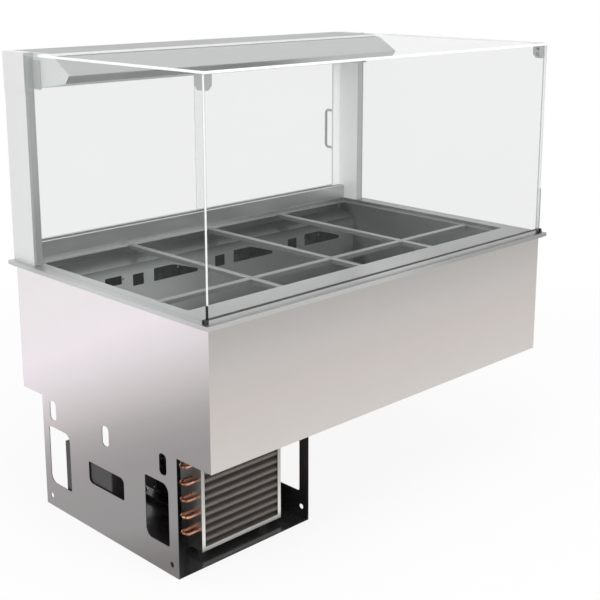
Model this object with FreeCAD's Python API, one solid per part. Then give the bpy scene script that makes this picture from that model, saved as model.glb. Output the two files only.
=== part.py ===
import FreeCAD, Part
import math
import os

# Drop-in refrigerated salad bar with a glass case. Millimetres, +Z up, -Y towards the customer,
# +X to the right as the customer sees it. The origin is the middle of the counter cut-out, in the
# plane of the flange's underside.

Vec = FreeCAD.Vector

# ---------------------------------------------------------------- driving dimensions
body_length = 1424.0
body_depth = 890.0
body_height = 389.0
bay_height = 351.0
bay_length = 492.0
bay_setback = 143.0
bay_depth = 645.0
case_height = 621.0

sheet = 1.5
plate = 2.0
soft_gap = 0.3
door_play = 0.5
run_gap = 0.05

flange_overhang = 20.0
flange_thickness = 12.0
flange_corner_r = 6.0
flange_edge_r = 2.5
ledge_width = 24.0
ledge_thickness = 2.0
ledge_corner_r = 4.0
deck_seat = 0.8
deck_corner_relief = 3.0

opening_side = 57.0
opening_front = 149.0
opening_corner_r = 12.0
tank_depth = 250.0
tank_sheet = 1.5
tank_rear_room = 26.0
foam_thickness = 27.0

bay_count = 4
bar_width = 22.0
bar_height = 13.0
bar_wall = 2.0
bar_tongue = 10.0
bar_edge_r = 1.5
bar_lap = 6.5
long_bar_setback = 119.0

duct_projection = 52.0
duct_rear_drop = 25.0
duct_slope_drop = 18.0
duct_sheet = 1.2
slot_sill = 134.0
slot_pitch_share = 0.2595
slot_groups = 3
narrow_slot_share = 0.2183
narrow_slot = (43.0, 38.0)
wide_slot_share = 0.2817
wide_slot = (182.0, 43.0)
wide_slot_flat = 78.0
wide_slot_tip = 10.0
low_slot_share = 0.1374
low_slot = (64.0, 28.0)
slot_corner_r = 3.0

coil_block_start = 120.0
coil_block_end = 150.0
coil_block_height = 54.0
coil_block_rear = 8.0
coil_end_plate = 3.0
coil_bend_pitch = 20.0
evap_fan_size = 119.0
evap_fan_depth = 38.0
evap_fan_r = 52.0
evap_fan_up = 84.0
evap_hub_r = 18.0
evap_shaft_r = 2.5
evap_blades = 7
evap_arm = 6.0

drain_x = 130.0
drain_r = 17.0
drain_wall = 4.0
drain_lip = 10.0
drain_nut = 10.0
valve_drop = 62.0
valve_bore_r = 10.0
tail_socket = 24.0
lever_length = 78.0
lever_thickness = 5.0
spindle_r = 3.0

window_low = 81.0
window_top = 262.0
rear_window = (505.0, 614.0)
front_window = (37.0, 141.0)
middle_window = (239.0, 410.0)
middle_window_low = 146.0
middle_window_top = 212.0
window_round = 26.0
window_corner = 8.0
slot_top = 346.0
slot_tall = 61.0
slot_wide = 32.0
slot_round = 13.0
slot_places = (43.0, 305.0, 573.0)
base_hole_r = 8.0
base_hole_up = 33.0
base_hole_in = 29.0
bay_lip = 24.0
pan_rim = 20.0
bolt_r = 4.0
bolt_head_r = 7.0
bolt_head = 4.0

coil_setback = 42.0
coil_left = 117.0
coil_length = 301.0
coil_low = 19.0
coil_height = 312.0
coil_depth = 60.0
coil_frame = 12.0
coil_foot = (30.0, 18.0)
coil_foot_in = 20.0
fin_pitch = 25.0
fin_wave = 6.0
tube_r = 5.0
tube_levels = 5
tube_first = 60.0
tube_pitch = 50.0
tube_column = 20.0
bend_r = 12.5
bend_reach = 39.0
rear_bend_reach = 12.0
tube_end_reach = 4.0

shroud_depth = 30.0
fan_r = 118.0
fan_hole_r = 126.0
fan_gap = 6.0
fan_width = 24.0
fan_hub_r = 30.0
fan_blades = 5
blade_thickness = 2.0
blade_pitch_deg = 28.0
blade_root = 6.0
motor_r = 38.0
motor_length = 62.0
motor_gap = 5.0
motor_arm = 14.0
arm_thickness = 3.0
shaft_r = 4.0

compressor_place = (322.0, 405.0)
compressor_r = 84.0
compressor_height = 176.0
compressor_dome_r = 62.0
compressor_foot_r = 22.0
compressor_foot = 14.0
compressor_base = 3.0
stub_offset = 40.0
pipe_r = 4.0
drier_r = 14.0
drier_length = 90.0
drier_up = 110.0
drier_in = 185.0
drier_side = 34.0
drier_neck = 12.0
drier_clip = (16.0, 4.0, 40.0)
pipe_over = 24.0
pipe_bend_r = 9.0
delivery_bend_r = 11.0
delivery_side = 26.0
liquid_side = 9.5
liquid_drop = 22.0
delivery_up = 46.0
suction_drop = 20.0
pipe_entry_in = (250.0, 290.0)
pipe_entry_rear = 60.0
evaporator_pipe_in = (215.0, 335.0)
evaporator_pipe_back = 24.0
pipe_end_up = 40.0
feed_up = 30.0
suction_up = 50.0

control_box_size = (58.0, 233.0, 232.0)
control_box_start = 304.0
box_wall = 3.0
knob_r = 17.0
knob_length = 16.0
knob_stem_r = 4.0
switch_size = (24.0, 32.0)
bezel_rim = 2.0
gland_r = 8.0
gland_nut_r = 13.0

post_width = 30.0
post_depth = 113.0
post_rear_reach = 15.0
post_wall = 2.5
post_cap_height = 110.0
post_cap_lip = 1.5

sill_height = 48.0
sill_depth = 48.0
sill_step = 1.0
track_depth = 10.0
door_inset = 14.0
door_thickness = 8.0
door_pane = 5.0
door_gap = 3.0
door_overlap = 36.0
stile_width = 34.0
stile_groove = 10.0
handle_span = 140.0
handle_r = 5.0
handle_reach = 37.0
handle_height = 261.0
handle_inset = 27.0
handle_bend_r = 12.0
pull_length = 120.0
pull_width = 18.0
pull_depth = 3.0

canopy_nose = 611.0
canopy_nose_drop = 55.0
canopy_lip_back = 20.0
canopy_lip_drop = 24.0
canopy_base_drop = 104.0
canopy_slope_run = 79.0
canopy_shoulder_r = 58.0
canopy_seat_run = 19.0
canopy_wall = 2.0
canopy_end_wall = 3.0
canopy_bracket_reach = 38.0
canopy_bracket_drop = 14.0
lamp_r = 8.0
lamp_socket = (12.0, 22.0, 13.0)
lamp_drop = 52.0
lamp_margin = 40.0
lamp_slot = (44.0, 105.0)
diffuser_thickness = 2.0
diffuser_lap = 8.0

glass = 8.0
roof_overhang_side = 6.0
roof_overhang_front = 8.0
rail_height = 3.0
rail_lift = 9.0
arm_sheet = 2.2
arm_height_left = 37.0
arm_height_right = 139.0
pivot_r = 3.0
pivot_length = 7.0
pivot_block = (9.0, 16.0, 12.0)

clamp_side_leg = 38.0
clamp_front_leg = 23.0
clamp_height = 41.0
clamp_thickness = 3.0
clamp_bevel = 11.0
clamp_screw_r = 4.5

# ---------------------------------------------------------------- derived places
x_left = -body_length / 2.0
x_right = body_length / 2.0
y_front = -body_depth / 2.0
y_rear = body_depth / 2.0

z_flange = 0.0
z_body = -body_height
z_bay = z_body - bay_height
z_deck = flange_thickness
z_ledge = ledge_thickness
z_seat = z_flange + deck_seat
z_top = z_deck + case_height
z_pane = z_top - glass

post_y1 = y_rear + post_rear_reach
post_y0 = post_y1 - post_depth
post_top = z_top - post_cap_height
sill_y0 = post_y1 - sill_depth
door_inner = sill_y0 + door_inset
door_outer = door_inner + door_thickness + door_gap
case_x0 = x_left + post_width
case_x1 = x_right - post_width

open_x0 = x_left + opening_side
open_x1 = x_right - opening_side
open_y0 = y_front + opening_front
open_y1 = sill_y0 - sill_step - ledge_width
open_mid = (open_y0 + open_y1) / 2.0
open_length = open_x1 - open_x0
slot_pitch = slot_pitch_share * open_length
bay_pitch = open_length / bay_count
bar_top = z_ledge + bar_wall
long_bar_y = open_y0 + long_bar_setback

tank_floor = z_flange - tank_depth
tank_rear = open_y1 + tank_rear_room
duct_face = open_y1 - duct_projection
fan_plane = tank_rear - evap_fan_depth

bay_x0 = x_left
bay_x1 = x_left + bay_length
bay_y0 = y_front + bay_setback
bay_y1 = bay_y0 + bay_depth
bay_floor = z_bay + plate

coil_y0 = bay_y0 + coil_setback
coil_y1 = coil_y0 + coil_depth
coil_x0 = bay_x0 + coil_left
coil_x1 = coil_x0 + coil_length
coil_z0 = z_bay + coil_low
coil_z1 = coil_z0 + coil_height
column_a = coil_y0 + tube_column
column_b = column_a + 2 * bend_r + 0.4
last_column = column_b if tube_levels % 2 == 1 else column_a
coil_end = coil_x1 + rear_bend_reach
coil_out = coil_x1 + tube_end_reach
first_level = coil_z0 + tube_first
last_level = first_level + (tube_levels - 1) * tube_pitch

shroud_y1 = coil_y1 + shroud_depth
fan_x = (coil_x0 + coil_x1) / 2
fan_z = (coil_z0 + coil_z1) / 2
fan_y0 = shroud_y1 + fan_gap
motor_y0 = fan_y0 + fan_width + motor_gap

comp_x = bay_x0 + compressor_place[0]
comp_y = bay_y0 + compressor_place[1]
comp_z0 = bay_floor + compressor_foot
comp_z1 = comp_z0 + compressor_base

pipe_entries = [(bay_x0 + reach, bay_y1 - pipe_entry_rear) for reach in pipe_entry_in]
evaporator_pipes = [(bay_x0 + reach, duct_face + evaporator_pipe_back) for reach in evaporator_pipe_in]


# ---------------------------------------------------------------- shape helpers
def box(x0, x1, y0, y1, z0, z1):
    """Block between two corners."""
    return Part.makeBox(x1 - x0, y1 - y0, z1 - z0, Vec(x0, y0, z0))


def place(axis, along, u, v):
    """Point with (u, v) in the plane across the axis: (y, z), (x, z) or (x, y)."""
    return {"X": Vec(along, u, v), "Y": Vec(u, along, v), "Z": Vec(u, v, along)}[axis]


def corner_arc(before, here, after, r):
    """Start, middle and end of the arc of radius r that rounds a corner between two directions."""
    to_before = (before - here).normalize()
    to_after = (after - here).normalize()
    half = to_before.getAngle(to_after) / 2.0
    reach = r / math.tan(half)
    middle = (to_before + to_after).normalize()
    centre = here + middle * (r / math.sin(half))
    return here + to_before * reach, centre - middle * r, here + to_after * reach


def outline(points, axis, along):
    """Closed wire through (u, v) corners; a third value rounds that corner with its radius."""
    spots = [place(axis, along, p[0], p[1]) for p in points]
    count = len(points)
    entries = []
    for i, corner in enumerate(points):
        if len(corner) == 2:
            entries.append((spots[i], None, spots[i]))
        else:
            entries.append(corner_arc(spots[i - 1], spots[i], spots[(i + 1) % count], corner[2]))
    edges = []
    for i, (start, middle, end) in enumerate(entries):
        following = entries[(i + 1) % count][0]
        if middle is not None:
            edges.append(Part.Arc(start, middle, end).toShape())
        if (following - end).Length > 1e-6:
            edges.append(Part.LineSegment(end, following).toShape())
    return Part.Wire(edges)


def prism(points, axis, start, end):
    """Solid between two planes across the axis, with the outline as its section."""
    return Part.Face(outline(points, axis, start)).extrude(place(axis, end - start, 0, 0))


def rounded(u0, u1, v0, v1, r):
    """Corners of a rectangle with equal rounding."""
    return [(u0, v0, r), (u1, v0, r), (u1, v1, r), (u0, v1, r)]


def hexagon(u, v, r):
    """Corners of a hexagon about (u, v)."""
    turns = [math.radians(60 * k) for k in range(6)]
    return [(u + r * math.cos(a), v + r * math.sin(a)) for a in turns]


def rod(axis, start, end, u, v, r):
    """Round bar along the axis."""
    return Part.makeCylinder(r, end - start, place(axis, start, u, v), place(axis, 1.0, 0, 0))


def pipe(points, r, bend):
    """Round bar along straight runs joined by arcs."""
    spots = [Vec(*p) for p in points]
    edges = []
    last = spots[0]
    for i in range(1, len(spots) - 1):
        start, middle, end = corner_arc(spots[i - 1], spots[i], spots[i + 1], bend)
        edges.append(Part.LineSegment(last, start).toShape())
        edges.append(Part.Arc(start, middle, end).toShape())
        last = end
    edges.append(Part.LineSegment(last, spots[-1]).toShape())
    section = Part.Wire(Part.makeCircle(r, spots[0], spots[1] - spots[0]))
    return Part.Wire(edges).makePipeShell([section], True, False)


def merged(shapes):
    """One solid from touching or crossing shapes."""
    result = shapes[0]
    for shape in shapes[1:]:
        result = result.fuse(shape)
    return result.removeSplitter()


def mirrored(shape):
    """Copy on the other side of the middle plane X = 0."""
    return shape.mirror(Vec(0, 0, 0), Vec(1, 0, 0))


def save(node, shapes):
    """Writes one node, as one solid or as a group of separate solids."""
    solids = []
    for shape in shapes if isinstance(shapes, list) else [shapes]:
        solids.extend(shape.Solids)
    for solid in solids:
        if not solid.isValid() or solid.Volume <= 0:
            raise ValueError(node + " has an invalid solid")
    target = solids[0] if len(solids) == 1 else Part.makeCompound(solids)
    target.exportStep("parts/" + node + ".step")
    print(node, len(solids), round(sum(s.Volume for s in solids) / 1000.0, 1), "cm3")


# ---------------------------------------------------------------- casing and well
def build_casing():
    """Five flat panels below the flange; front and rear reach over the side panels' edges."""
    save("casing_front", box(x_left, x_right, y_front, y_front + sheet, z_body, z_seat))
    save("casing_rear", box(x_left, x_right, y_rear - sheet, y_rear, z_body, z_seat))
    side = box(x_left, x_left + sheet, y_front + sheet, y_rear - sheet, z_body, z_seat)
    save("casing_left", side)
    save("casing_right", mirrored(side))
    bottom = box(x_left + sheet, x_right - sheet, y_front + sheet, y_rear - sheet,
                 z_body, z_body + sheet)
    bottom = bottom.cut(rod("Z", z_body - 1, z_body + 5, drain_x, open_mid, drain_r))
    for x, y in pipe_entries:
        bottom = bottom.cut(rod("Z", z_body - 1, z_body + 5, x, y, pipe_r + 1.0))
    save("casing_bottom", bottom)


def build_deck():
    """Flange and deck in one: a flat frame with a sunken ledge around the well opening.

    Below, it is thinner over the casing, which seats there, and at the flange's four corners.
    """
    slab = prism(rounded(x_left - flange_overhang, x_right + flange_overhang,
                         y_front - flange_overhang, y_rear + flange_overhang, flange_corner_r),
                 "Z", z_flange, z_deck)
    slab = slab.makeFillet(flange_edge_r, [e for e in slab.Edges
                                           if abs(e.BoundBox.ZMin - z_deck) < 1e-6])
    recess = prism(rounded(open_x0 - ledge_width, open_x1 + ledge_width, open_y0 - ledge_width,
                           open_y1 + ledge_width, ledge_corner_r), "Z", z_ledge, z_deck + 5)
    mouth = prism(rounded(open_x0, open_x1, open_y0, open_y1, opening_corner_r),
                  "Z", z_flange - 5, z_ledge + 5)
    rim = slab.cut(recess).cut(mouth)
    rim = rim.cut(box(x_left, x_right, y_front, y_rear, z_flange - 1, z_seat))
    out = flange_overhang + 1
    reach = out + deck_corner_relief
    for x in (x_left - out, x_right - deck_corner_relief):
        for y in (y_front - out, y_rear - deck_corner_relief):
            rim = rim.cut(box(x, x + reach, y, y + reach, z_flange - 1, z_seat))
    save("deck_rim", rim)


def tank_block(grow, floor, top):
    """Block of the tank's inner room, grown outwards on its four sides."""
    return prism(rounded(open_x0 - grow, open_x1 + grow, open_y0 - grow, tank_rear + grow,
                         opening_corner_r + grow), "Z", floor, top)


def build_tank():
    """Sheet tank under the opening, with foam around it."""
    foot = tank_floor - tank_sheet
    tank = tank_block(tank_sheet, foot, z_seat).cut(tank_block(0, tank_floor, z_seat + 1))
    tank = tank.cut(rod("Z", foot - 1, tank_floor + 1, drain_x, open_mid, drain_r))
    inner = tank_sheet + soft_gap
    foam = tank_block(inner + foam_thickness, foot - soft_gap - foam_thickness, z_flange - soft_gap)
    foam = foam.cut(tank_block(inner, foot - soft_gap, z_flange + 1))
    foam = foam.cut(rod("Z", z_body, tank_floor, drain_x, open_mid, drain_r + 3.0))
    for x, y in evaporator_pipes:
        tank = tank.cut(rod("Z", foot - 1, tank_floor + 1, x, y, pipe_r + soft_gap))
        foam = foam.cut(rod("Z", z_body, tank_floor, x, y, pipe_r + 3.0))
    save("well_tank", tank)
    save("tank_insulation", foam)


def duct_slots():
    """Outlines of the air slots in (x, z): a low one at the left, then a narrow and a wide one."""
    low = tank_floor + slot_sill
    top = low + wide_slot[1]
    r = slot_corner_r
    x = open_x0 + low_slot_share * open_length
    slots = [rounded(x, x + low_slot[0], top - low_slot[1], top, r)]
    for group in range(slot_groups):
        start = open_x0 + group * slot_pitch
        x = start + narrow_slot_share * open_length
        slots.append(rounded(x, x + narrow_slot[0], low, low + narrow_slot[1], r))
        x = start + wide_slot_share * open_length
        slots.append([(x, low, r), (x + wide_slot[0], low, r),
                      (x + wide_slot[0], low + wide_slot_tip, r),
                      (x + wide_slot_flat, top, 2 * wide_slot[1]), (x, top, r)])
    return slots


def build_duct_cover():
    """Folded sheet in front of the rear air duct, with its air slots."""
    z_rear = z_flange - duct_rear_drop
    z_face = z_rear - duct_slope_drop
    t = duct_sheet
    section = [(duct_face, tank_floor), (duct_face, z_face), (tank_rear, z_rear),
               (tank_rear, z_rear - t), (duct_face + t, z_face - t), (duct_face + t, tank_floor)]
    cover = prism(section, "X", open_x0, open_x1).common(tank_block(-soft_gap, tank_floor, z_flange))
    for shape in duct_slots():
        cover = cover.cut(prism(shape, "Y", duct_face - 5, duct_face + 5))
    save("duct_cover", cover)


def channel(centre):
    """Inverted channel across its length: (u, z) corners."""
    half = bar_width / 2
    low = bar_top - bar_height
    roof = bar_top - bar_wall
    return [(centre - half, low), (centre - half, bar_top, bar_edge_r),
            (centre + half, bar_top, bar_edge_r), (centre + half, low),
            (centre + half - bar_wall, low), (centre + half - bar_wall, roof),
            (centre - half + bar_wall, roof), (centre - half + bar_wall, low)]


def build_bars():
    """One long bar and the cross bars lapped over it, their tongues on the sunken ledge."""
    half = bar_width / 2
    y0, y1 = long_bar_y - half, long_bar_y + half
    long_bar = merged([prism(channel(long_bar_y), "X", open_x0 + soft_gap, open_x1 - soft_gap),
                       box(open_x0 - bar_tongue, open_x0 + 1, y0, y1, z_ledge, bar_top),
                       box(open_x1 - 1, open_x1 + bar_tongue, y0, y1, z_ledge, bar_top)])
    lap = half + soft_gap
    split = bar_top - bar_lap
    crosses = []
    for number in range(1, bay_count):
        x = open_x0 + number * bay_pitch
        long_bar = long_bar.cut(box(x - lap, x + lap, y0 - 1, y1 + 1, split, bar_top + 1))
        cross = merged([prism(channel(x), "Y", open_y0 + soft_gap, open_y1 - soft_gap),
                        box(x - half, x + half, open_y0 - bar_tongue, open_y0 + 1, z_ledge, bar_top),
                        box(x - half, x + half, open_y1 - 1, open_y1 + bar_tongue, z_ledge, bar_top)])
        crosses.append(cross.cut(box(x - half - 1, x + half + 1, long_bar_y - lap, long_bar_y + lap,
                                     bar_top - bar_height - 1, split)))
    save("cross_bars", crosses)
    save("long_bar", long_bar)


# ---------------------------------------------------------------- fans and the cold side
def blade_set(x, z, start, width, hub_r, tip_r, count, bore_r, bore_from):
    """Hub with flat pitched blades about an axis along Y, and a blind bore for its shaft."""
    hub = rod("Y", start, start + width, x, z, hub_r)
    chord = 1.25 * tip_r * math.sin(math.pi / count)
    inner = hub_r - blade_root
    pitch = min(blade_pitch_deg, math.degrees(math.asin(min(0.95, (width - 4.0) / chord))))
    blades = []
    for number in range(count):
        half = chord / 2
        corners = [(inner, -0.55 * half), (tip_r, -half, 0.3 * half), (tip_r, half, 0.3 * half),
                   (inner, 0.55 * half)]
        blade = prism(corners, "Y", -blade_thickness / 2, blade_thickness / 2)
        blade.rotate(Vec(0, 0, 0), Vec(1, 0, 0), pitch)
        blade.rotate(Vec(0, 0, 0), Vec(0, 1, 0), 360.0 * number / count)
        blade.translate(Vec(x, start + width / 2, z))
        blades.append(blade)
    fan = merged([hub] + blades).common(rod("Y", start, start + width, x, z, tip_r))
    return fan.cut(rod("Y", bore_from, start + width + 1, x, z, bore_r))


def evaporator_fan_centres():
    """Fan centres behind the wide slots."""
    z = tank_floor + evap_fan_up + evap_fan_size / 2
    first = open_x0 + wide_slot_share * open_length + wide_slot[0] / 2
    return [(first + group * slot_pitch, z) for group in range(slot_groups)]


def build_evaporator():
    """Finned block with end plates and return bends on the tank's floor, behind the duct cover."""
    y0 = duct_face + 2 * duct_sheet + 4.0
    y1 = tank_rear - coil_block_rear
    x0 = open_x0 + coil_block_start
    x1 = open_x1 - coil_block_end
    t = coil_end_plate
    top = tank_floor + coil_block_height
    block = box(x0 + t, x1 - t, y0, y1, tank_floor + 4.0, top)
    for x, y in evaporator_pipes:
        block = block.cut(rod("Z", tank_floor, top + 1, x, y, pipe_r + 1.0))
    ends = [box(x, x + t, y0, y1, tank_floor, top + 2.0) for x in (x0, x1 - t)]
    bends = []
    for row in range(3):
        y = y0 + 12.0 + row * coil_bend_pitch
        z = tank_floor + 16.0
        out = x1 + 20.0
        bends.append(pipe([(x1, y, z), (out, y, z), (out, y, z + 24.0), (x1, y, z + 24.0)],
                          pipe_r, 10.0))
    save("evaporator_coil", [block] + ends + bends)


def build_evaporator_fans():
    """Square fan frames on the tank's rear wall, each with a rotor on its own shaft."""
    half = evap_fan_size / 2
    frames = []
    for number, (x, z) in enumerate(evaporator_fan_centres(), 1):
        frame = prism(rounded(x - half, x + half, z - half, z + half, 6.0), "Y", fan_plane, tank_rear)
        frame = frame.cut(rod("Y", fan_plane - 1, tank_rear + 1, x, z, evap_fan_r + 3.0))
        pieces = [frame, rod("Y", tank_rear - 4.0, tank_rear, x, z, evap_hub_r),
                  rod("Y", fan_plane + 10.0, tank_rear - 4.0, x, z, evap_shaft_r)]
        for turn in range(3):
            arm = box(0, evap_fan_r + 5.0, tank_rear - 4.0, tank_rear, -evap_arm / 2, evap_arm / 2)
            arm.rotate(Vec(0, 0, 0), Vec(0, 1, 0), 90.0 + 120.0 * turn)
            arm.translate(Vec(x, 0, z))
            pieces.append(arm)
        frames.append(merged(pieces))
        save("evaporator_fan_" + str(number),
             blade_set(x, z, fan_plane + 4.0, evap_fan_depth - 12.0, evap_hub_r, evap_fan_r,
                       evap_blades, evap_shaft_r + run_gap, fan_plane + 9.5))
    save("evaporator_fan_frames", frames)


def build_drain():
    """Drain fitting through the tank's floor, a ball valve under the casing and its lever."""
    y = open_mid
    stem_r = drain_r - 1.0
    bore_r = stem_r - drain_wall
    nut_z = z_body - drain_nut
    lip = 2.0
    fitting = merged([rod("Z", tank_floor, tank_floor + lip, drain_x, y, drain_r + drain_lip),
                      rod("Z", nut_z, tank_floor, drain_x, y, stem_r),
                      prism(hexagon(drain_x, y, drain_r + drain_lip), "Z", nut_z, z_body)])
    save("drain_fitting", fitting.cut(rod("Z", nut_z - 1, tank_floor + lip + 1, drain_x, y, bore_r)))
    z = nut_z - valve_drop / 2
    boss = y + stem_r + 12.0
    valve = merged([rod("Z", nut_z - valve_drop, nut_z, drain_x, y, stem_r),
                    Part.makeSphere(stem_r + 6.0, Vec(drain_x, y, z)),
                    rod("Y", y, boss, drain_x, z, 7.0)])
    valve = valve.cut(rod("Z", nut_z - valve_drop - 1, nut_z + 1, drain_x, y, valve_bore_r))
    valve = valve.cut(rod("Z", nut_z - valve_drop - 1, nut_z - valve_drop + tail_socket, drain_x, y,
                          bore_r))
    spindle = rod("Y", y + stem_r + 2.0, boss + lever_thickness + 3.0, drain_x, z, spindle_r)
    save("drain_valve", merged([valve, spindle]))
    start = boss + soft_gap
    end = start + lever_thickness
    lever = merged([rod("Y", start, end, drain_x, z, 10.0),
                    prism([(drain_x, z - 7.0), (drain_x + lever_length, z - 9.0, 8.0),
                           (drain_x + lever_length, z + 9.0, 8.0), (drain_x, z + 7.0)], "Y", start, end)])
    save("drain_lever", lever.cut(rod("Y", start - 1, end + 1, drain_x, z, spindle_r + run_gap)))


# ---------------------------------------------------------------- machine bay
def bolt_row():
    """Bolt places along the lip of a bay plate."""
    return [bay_y0 + bay_depth * share for share in (0.12, 0.5, 0.88)]


def bay_plate():
    """Left plate: three windows, three tall slots, two round holes and a lip under the casing."""
    side = merged([box(bay_x0, bay_x0 + plate, bay_y0, bay_y1, z_bay, z_body),
                   box(bay_x0, bay_x0 + bay_lip, bay_y0, bay_y1, z_body - plate, z_body)])
    cuts = []
    tall = [(front_window, window_low, window_top), (rear_window, window_low, window_top),
            (middle_window, middle_window_low, middle_window_top)]
    for (near, far), low, top in tall:
        large = min(window_round, 0.25 * (top - low))
        small = min(window_corner, 0.1 * (top - low))
        cuts.append([(bay_y0 + near, z_bay + low, small), (bay_y0 + far, z_bay + low, large),
                     (bay_y0 + far, z_bay + top, small), (bay_y0 + near, z_bay + top, large)])
    for start in slot_places:
        cuts.append(rounded(bay_y0 + start, bay_y0 + start + slot_wide,
                            z_bay + slot_top - slot_tall, z_bay + slot_top, slot_round))
    for corners in cuts:
        side = side.cut(prism(corners, "X", bay_x0 - 1, bay_x0 + plate + 1))
    for y in (bay_y0 + base_hole_in, bay_y1 - base_hole_in):
        side = side.cut(rod("X", bay_x0 - 1, bay_x0 + plate + 1, y, z_bay + base_hole_up, base_hole_r))
    for y in bolt_row():
        side = side.cut(rod("Z", z_body - plate - 1, z_body + 1, bay_x0 + bay_lip / 2 + 2, y,
                            bolt_r + soft_gap))
    return side


def build_bay():
    """Two plates, a floor pan between them and the bolts that hang them from the casing."""
    left = bay_plate()
    save("bay_plate_left", left)
    save("bay_plate_right", left.mirror(Vec((bay_x0 + bay_x1) / 2, 0, 0), Vec(1, 0, 0)))
    x0, x1 = bay_x0 + plate, bay_x1 - plate
    rim = z_bay + pan_rim
    section = [(x0, z_bay), (x1, z_bay), (x1, rim), (x1 - plate, rim), (x1 - plate, bay_floor),
               (x0 + plate, bay_floor), (x0 + plate, rim), (x0, rim)]
    save("bay_floor_pan", prism(section, "Y", bay_y0, bay_y1))
    bolts = []
    under = z_body - plate
    for x in (bay_x0 + bay_lip / 2 + 2, bay_x1 - bay_lip / 2 - 2):
        for y in bolt_row():
            bolts.append(merged([prism(hexagon(x, y, bolt_head_r), "Z", under - bolt_head, under),
                                 rod("Z", under, z_body, x, y, bolt_r)]))
    save("bay_bolts", bolts)


def build_condenser():
    """Frame, waved fin block and one serpentine copper tube, at the front of the bay."""
    f = coil_frame
    frame = box(coil_x0, coil_x1, coil_y0, coil_y1, coil_z0, coil_z1)
    frame = frame.cut(box(coil_x0 + plate, coil_x1 - plate, coil_y0 + plate, coil_y1 + 1,
                          coil_z0 + plate, coil_z1 - plate))
    frame = frame.cut(box(coil_x0 + f, coil_x1 - f, coil_y0 - 1, coil_y1, coil_z0 + f, coil_z1 - f))
    feet = [box(x, x + coil_foot[0], coil_y1 - coil_foot[1], coil_y1, bay_floor, coil_z0)
            for x in (coil_x0 + coil_foot_in, coil_x1 - coil_foot_in - coil_foot[0])]
    frame = merged([frame] + feet)

    front = coil_y0 + plate + 1.0
    back = coil_y1 - 1.0
    room = coil_height - 2 * plate - 2 * soft_gap
    rows = int(room // fin_pitch)
    low = coil_z0 + plate + soft_gap + (room - rows * fin_pitch) / 2
    section = []
    for row in range(rows):
        z = low + row * fin_pitch
        section += [(front + fin_wave, z), (front, z + 0.3 * fin_pitch, 2.0),
                    (front, z + 0.7 * fin_pitch, 2.0)]
    high = low + rows * fin_pitch
    section += [(front + fin_wave, high), (back, high), (back, low)]
    fins = prism(section, "X", coil_x0 + plate + soft_gap, coil_x1 - plate - soft_gap)

    left = coil_x0 - bend_reach
    columns = (column_a, column_b)
    path = [(coil_out, column_a, first_level)]
    for level in range(tube_levels):
        z = first_level + level * tube_pitch
        near, far = columns if level % 2 == 0 else columns[::-1]
        path += [(left, near, z), (left, far, z)]
        if level < tube_levels - 1:
            path += [(coil_end, far, z), (coil_end, far, z + tube_pitch)]
        for y in columns:
            bore = rod("X", coil_x0 - 1, coil_x1 + 1, y, z, tube_r + soft_gap)
            frame = frame.cut(bore)
            fins = fins.cut(bore)
    path.append((coil_out, last_column, last_level))
    save("condenser_frame", frame)
    save("condenser_fins", fins)
    save("condenser_tube", pipe(path, tube_r, bend_r))


def build_condenser_fan():
    """Shroud box behind the coil, five-bladed fan and its motor on three arms."""
    shroud = box(coil_x0, coil_x1, coil_y1, shroud_y1, coil_z0, coil_z1)
    shroud = shroud.cut(box(coil_x0 + sheet, coil_x1 - sheet, coil_y1 - 1, shroud_y1 - sheet,
                            coil_z0 + sheet, coil_z1 - sheet))
    shroud = shroud.cut(rod("Y", coil_y1, shroud_y1 + 1, fan_x, fan_z, fan_hole_r))
    save("condenser_shroud", shroud)
    save("condenser_fan", blade_set(fan_x, fan_z, fan_y0, fan_width, fan_hub_r, fan_r, fan_blades,
                                    shaft_r + run_gap, fan_y0 + 5.0))
    y1 = motor_y0 + motor_length
    can = rod("Y", motor_y0, y1, fan_x, fan_z, motor_r)
    can = can.makeFillet(6.0, [e for e in can.Edges if e.BoundBox.YMin > y1 - 1])
    pieces = [can, rod("Y", fan_y0 + 5.5, motor_y0, fan_x, fan_z, shaft_r)]
    reach = fan_hole_r + 9.0
    inner = motor_y0 + 8.0
    half = motor_arm / 2
    for turn in (45.0, 135.0, 270.0):
        arm = merged([box(motor_r - 6.0, reach, inner, inner + arm_thickness, -half, half),
                      box(reach - arm_thickness, reach, shroud_y1, inner + arm_thickness, -half, half)])
        arm.rotate(Vec(0, 0, 0), Vec(0, 1, 0), turn)
        arm.translate(Vec(fan_x, 0, fan_z))
        pieces.append(arm)
    save("condenser_motor", merged(pieces))


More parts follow.
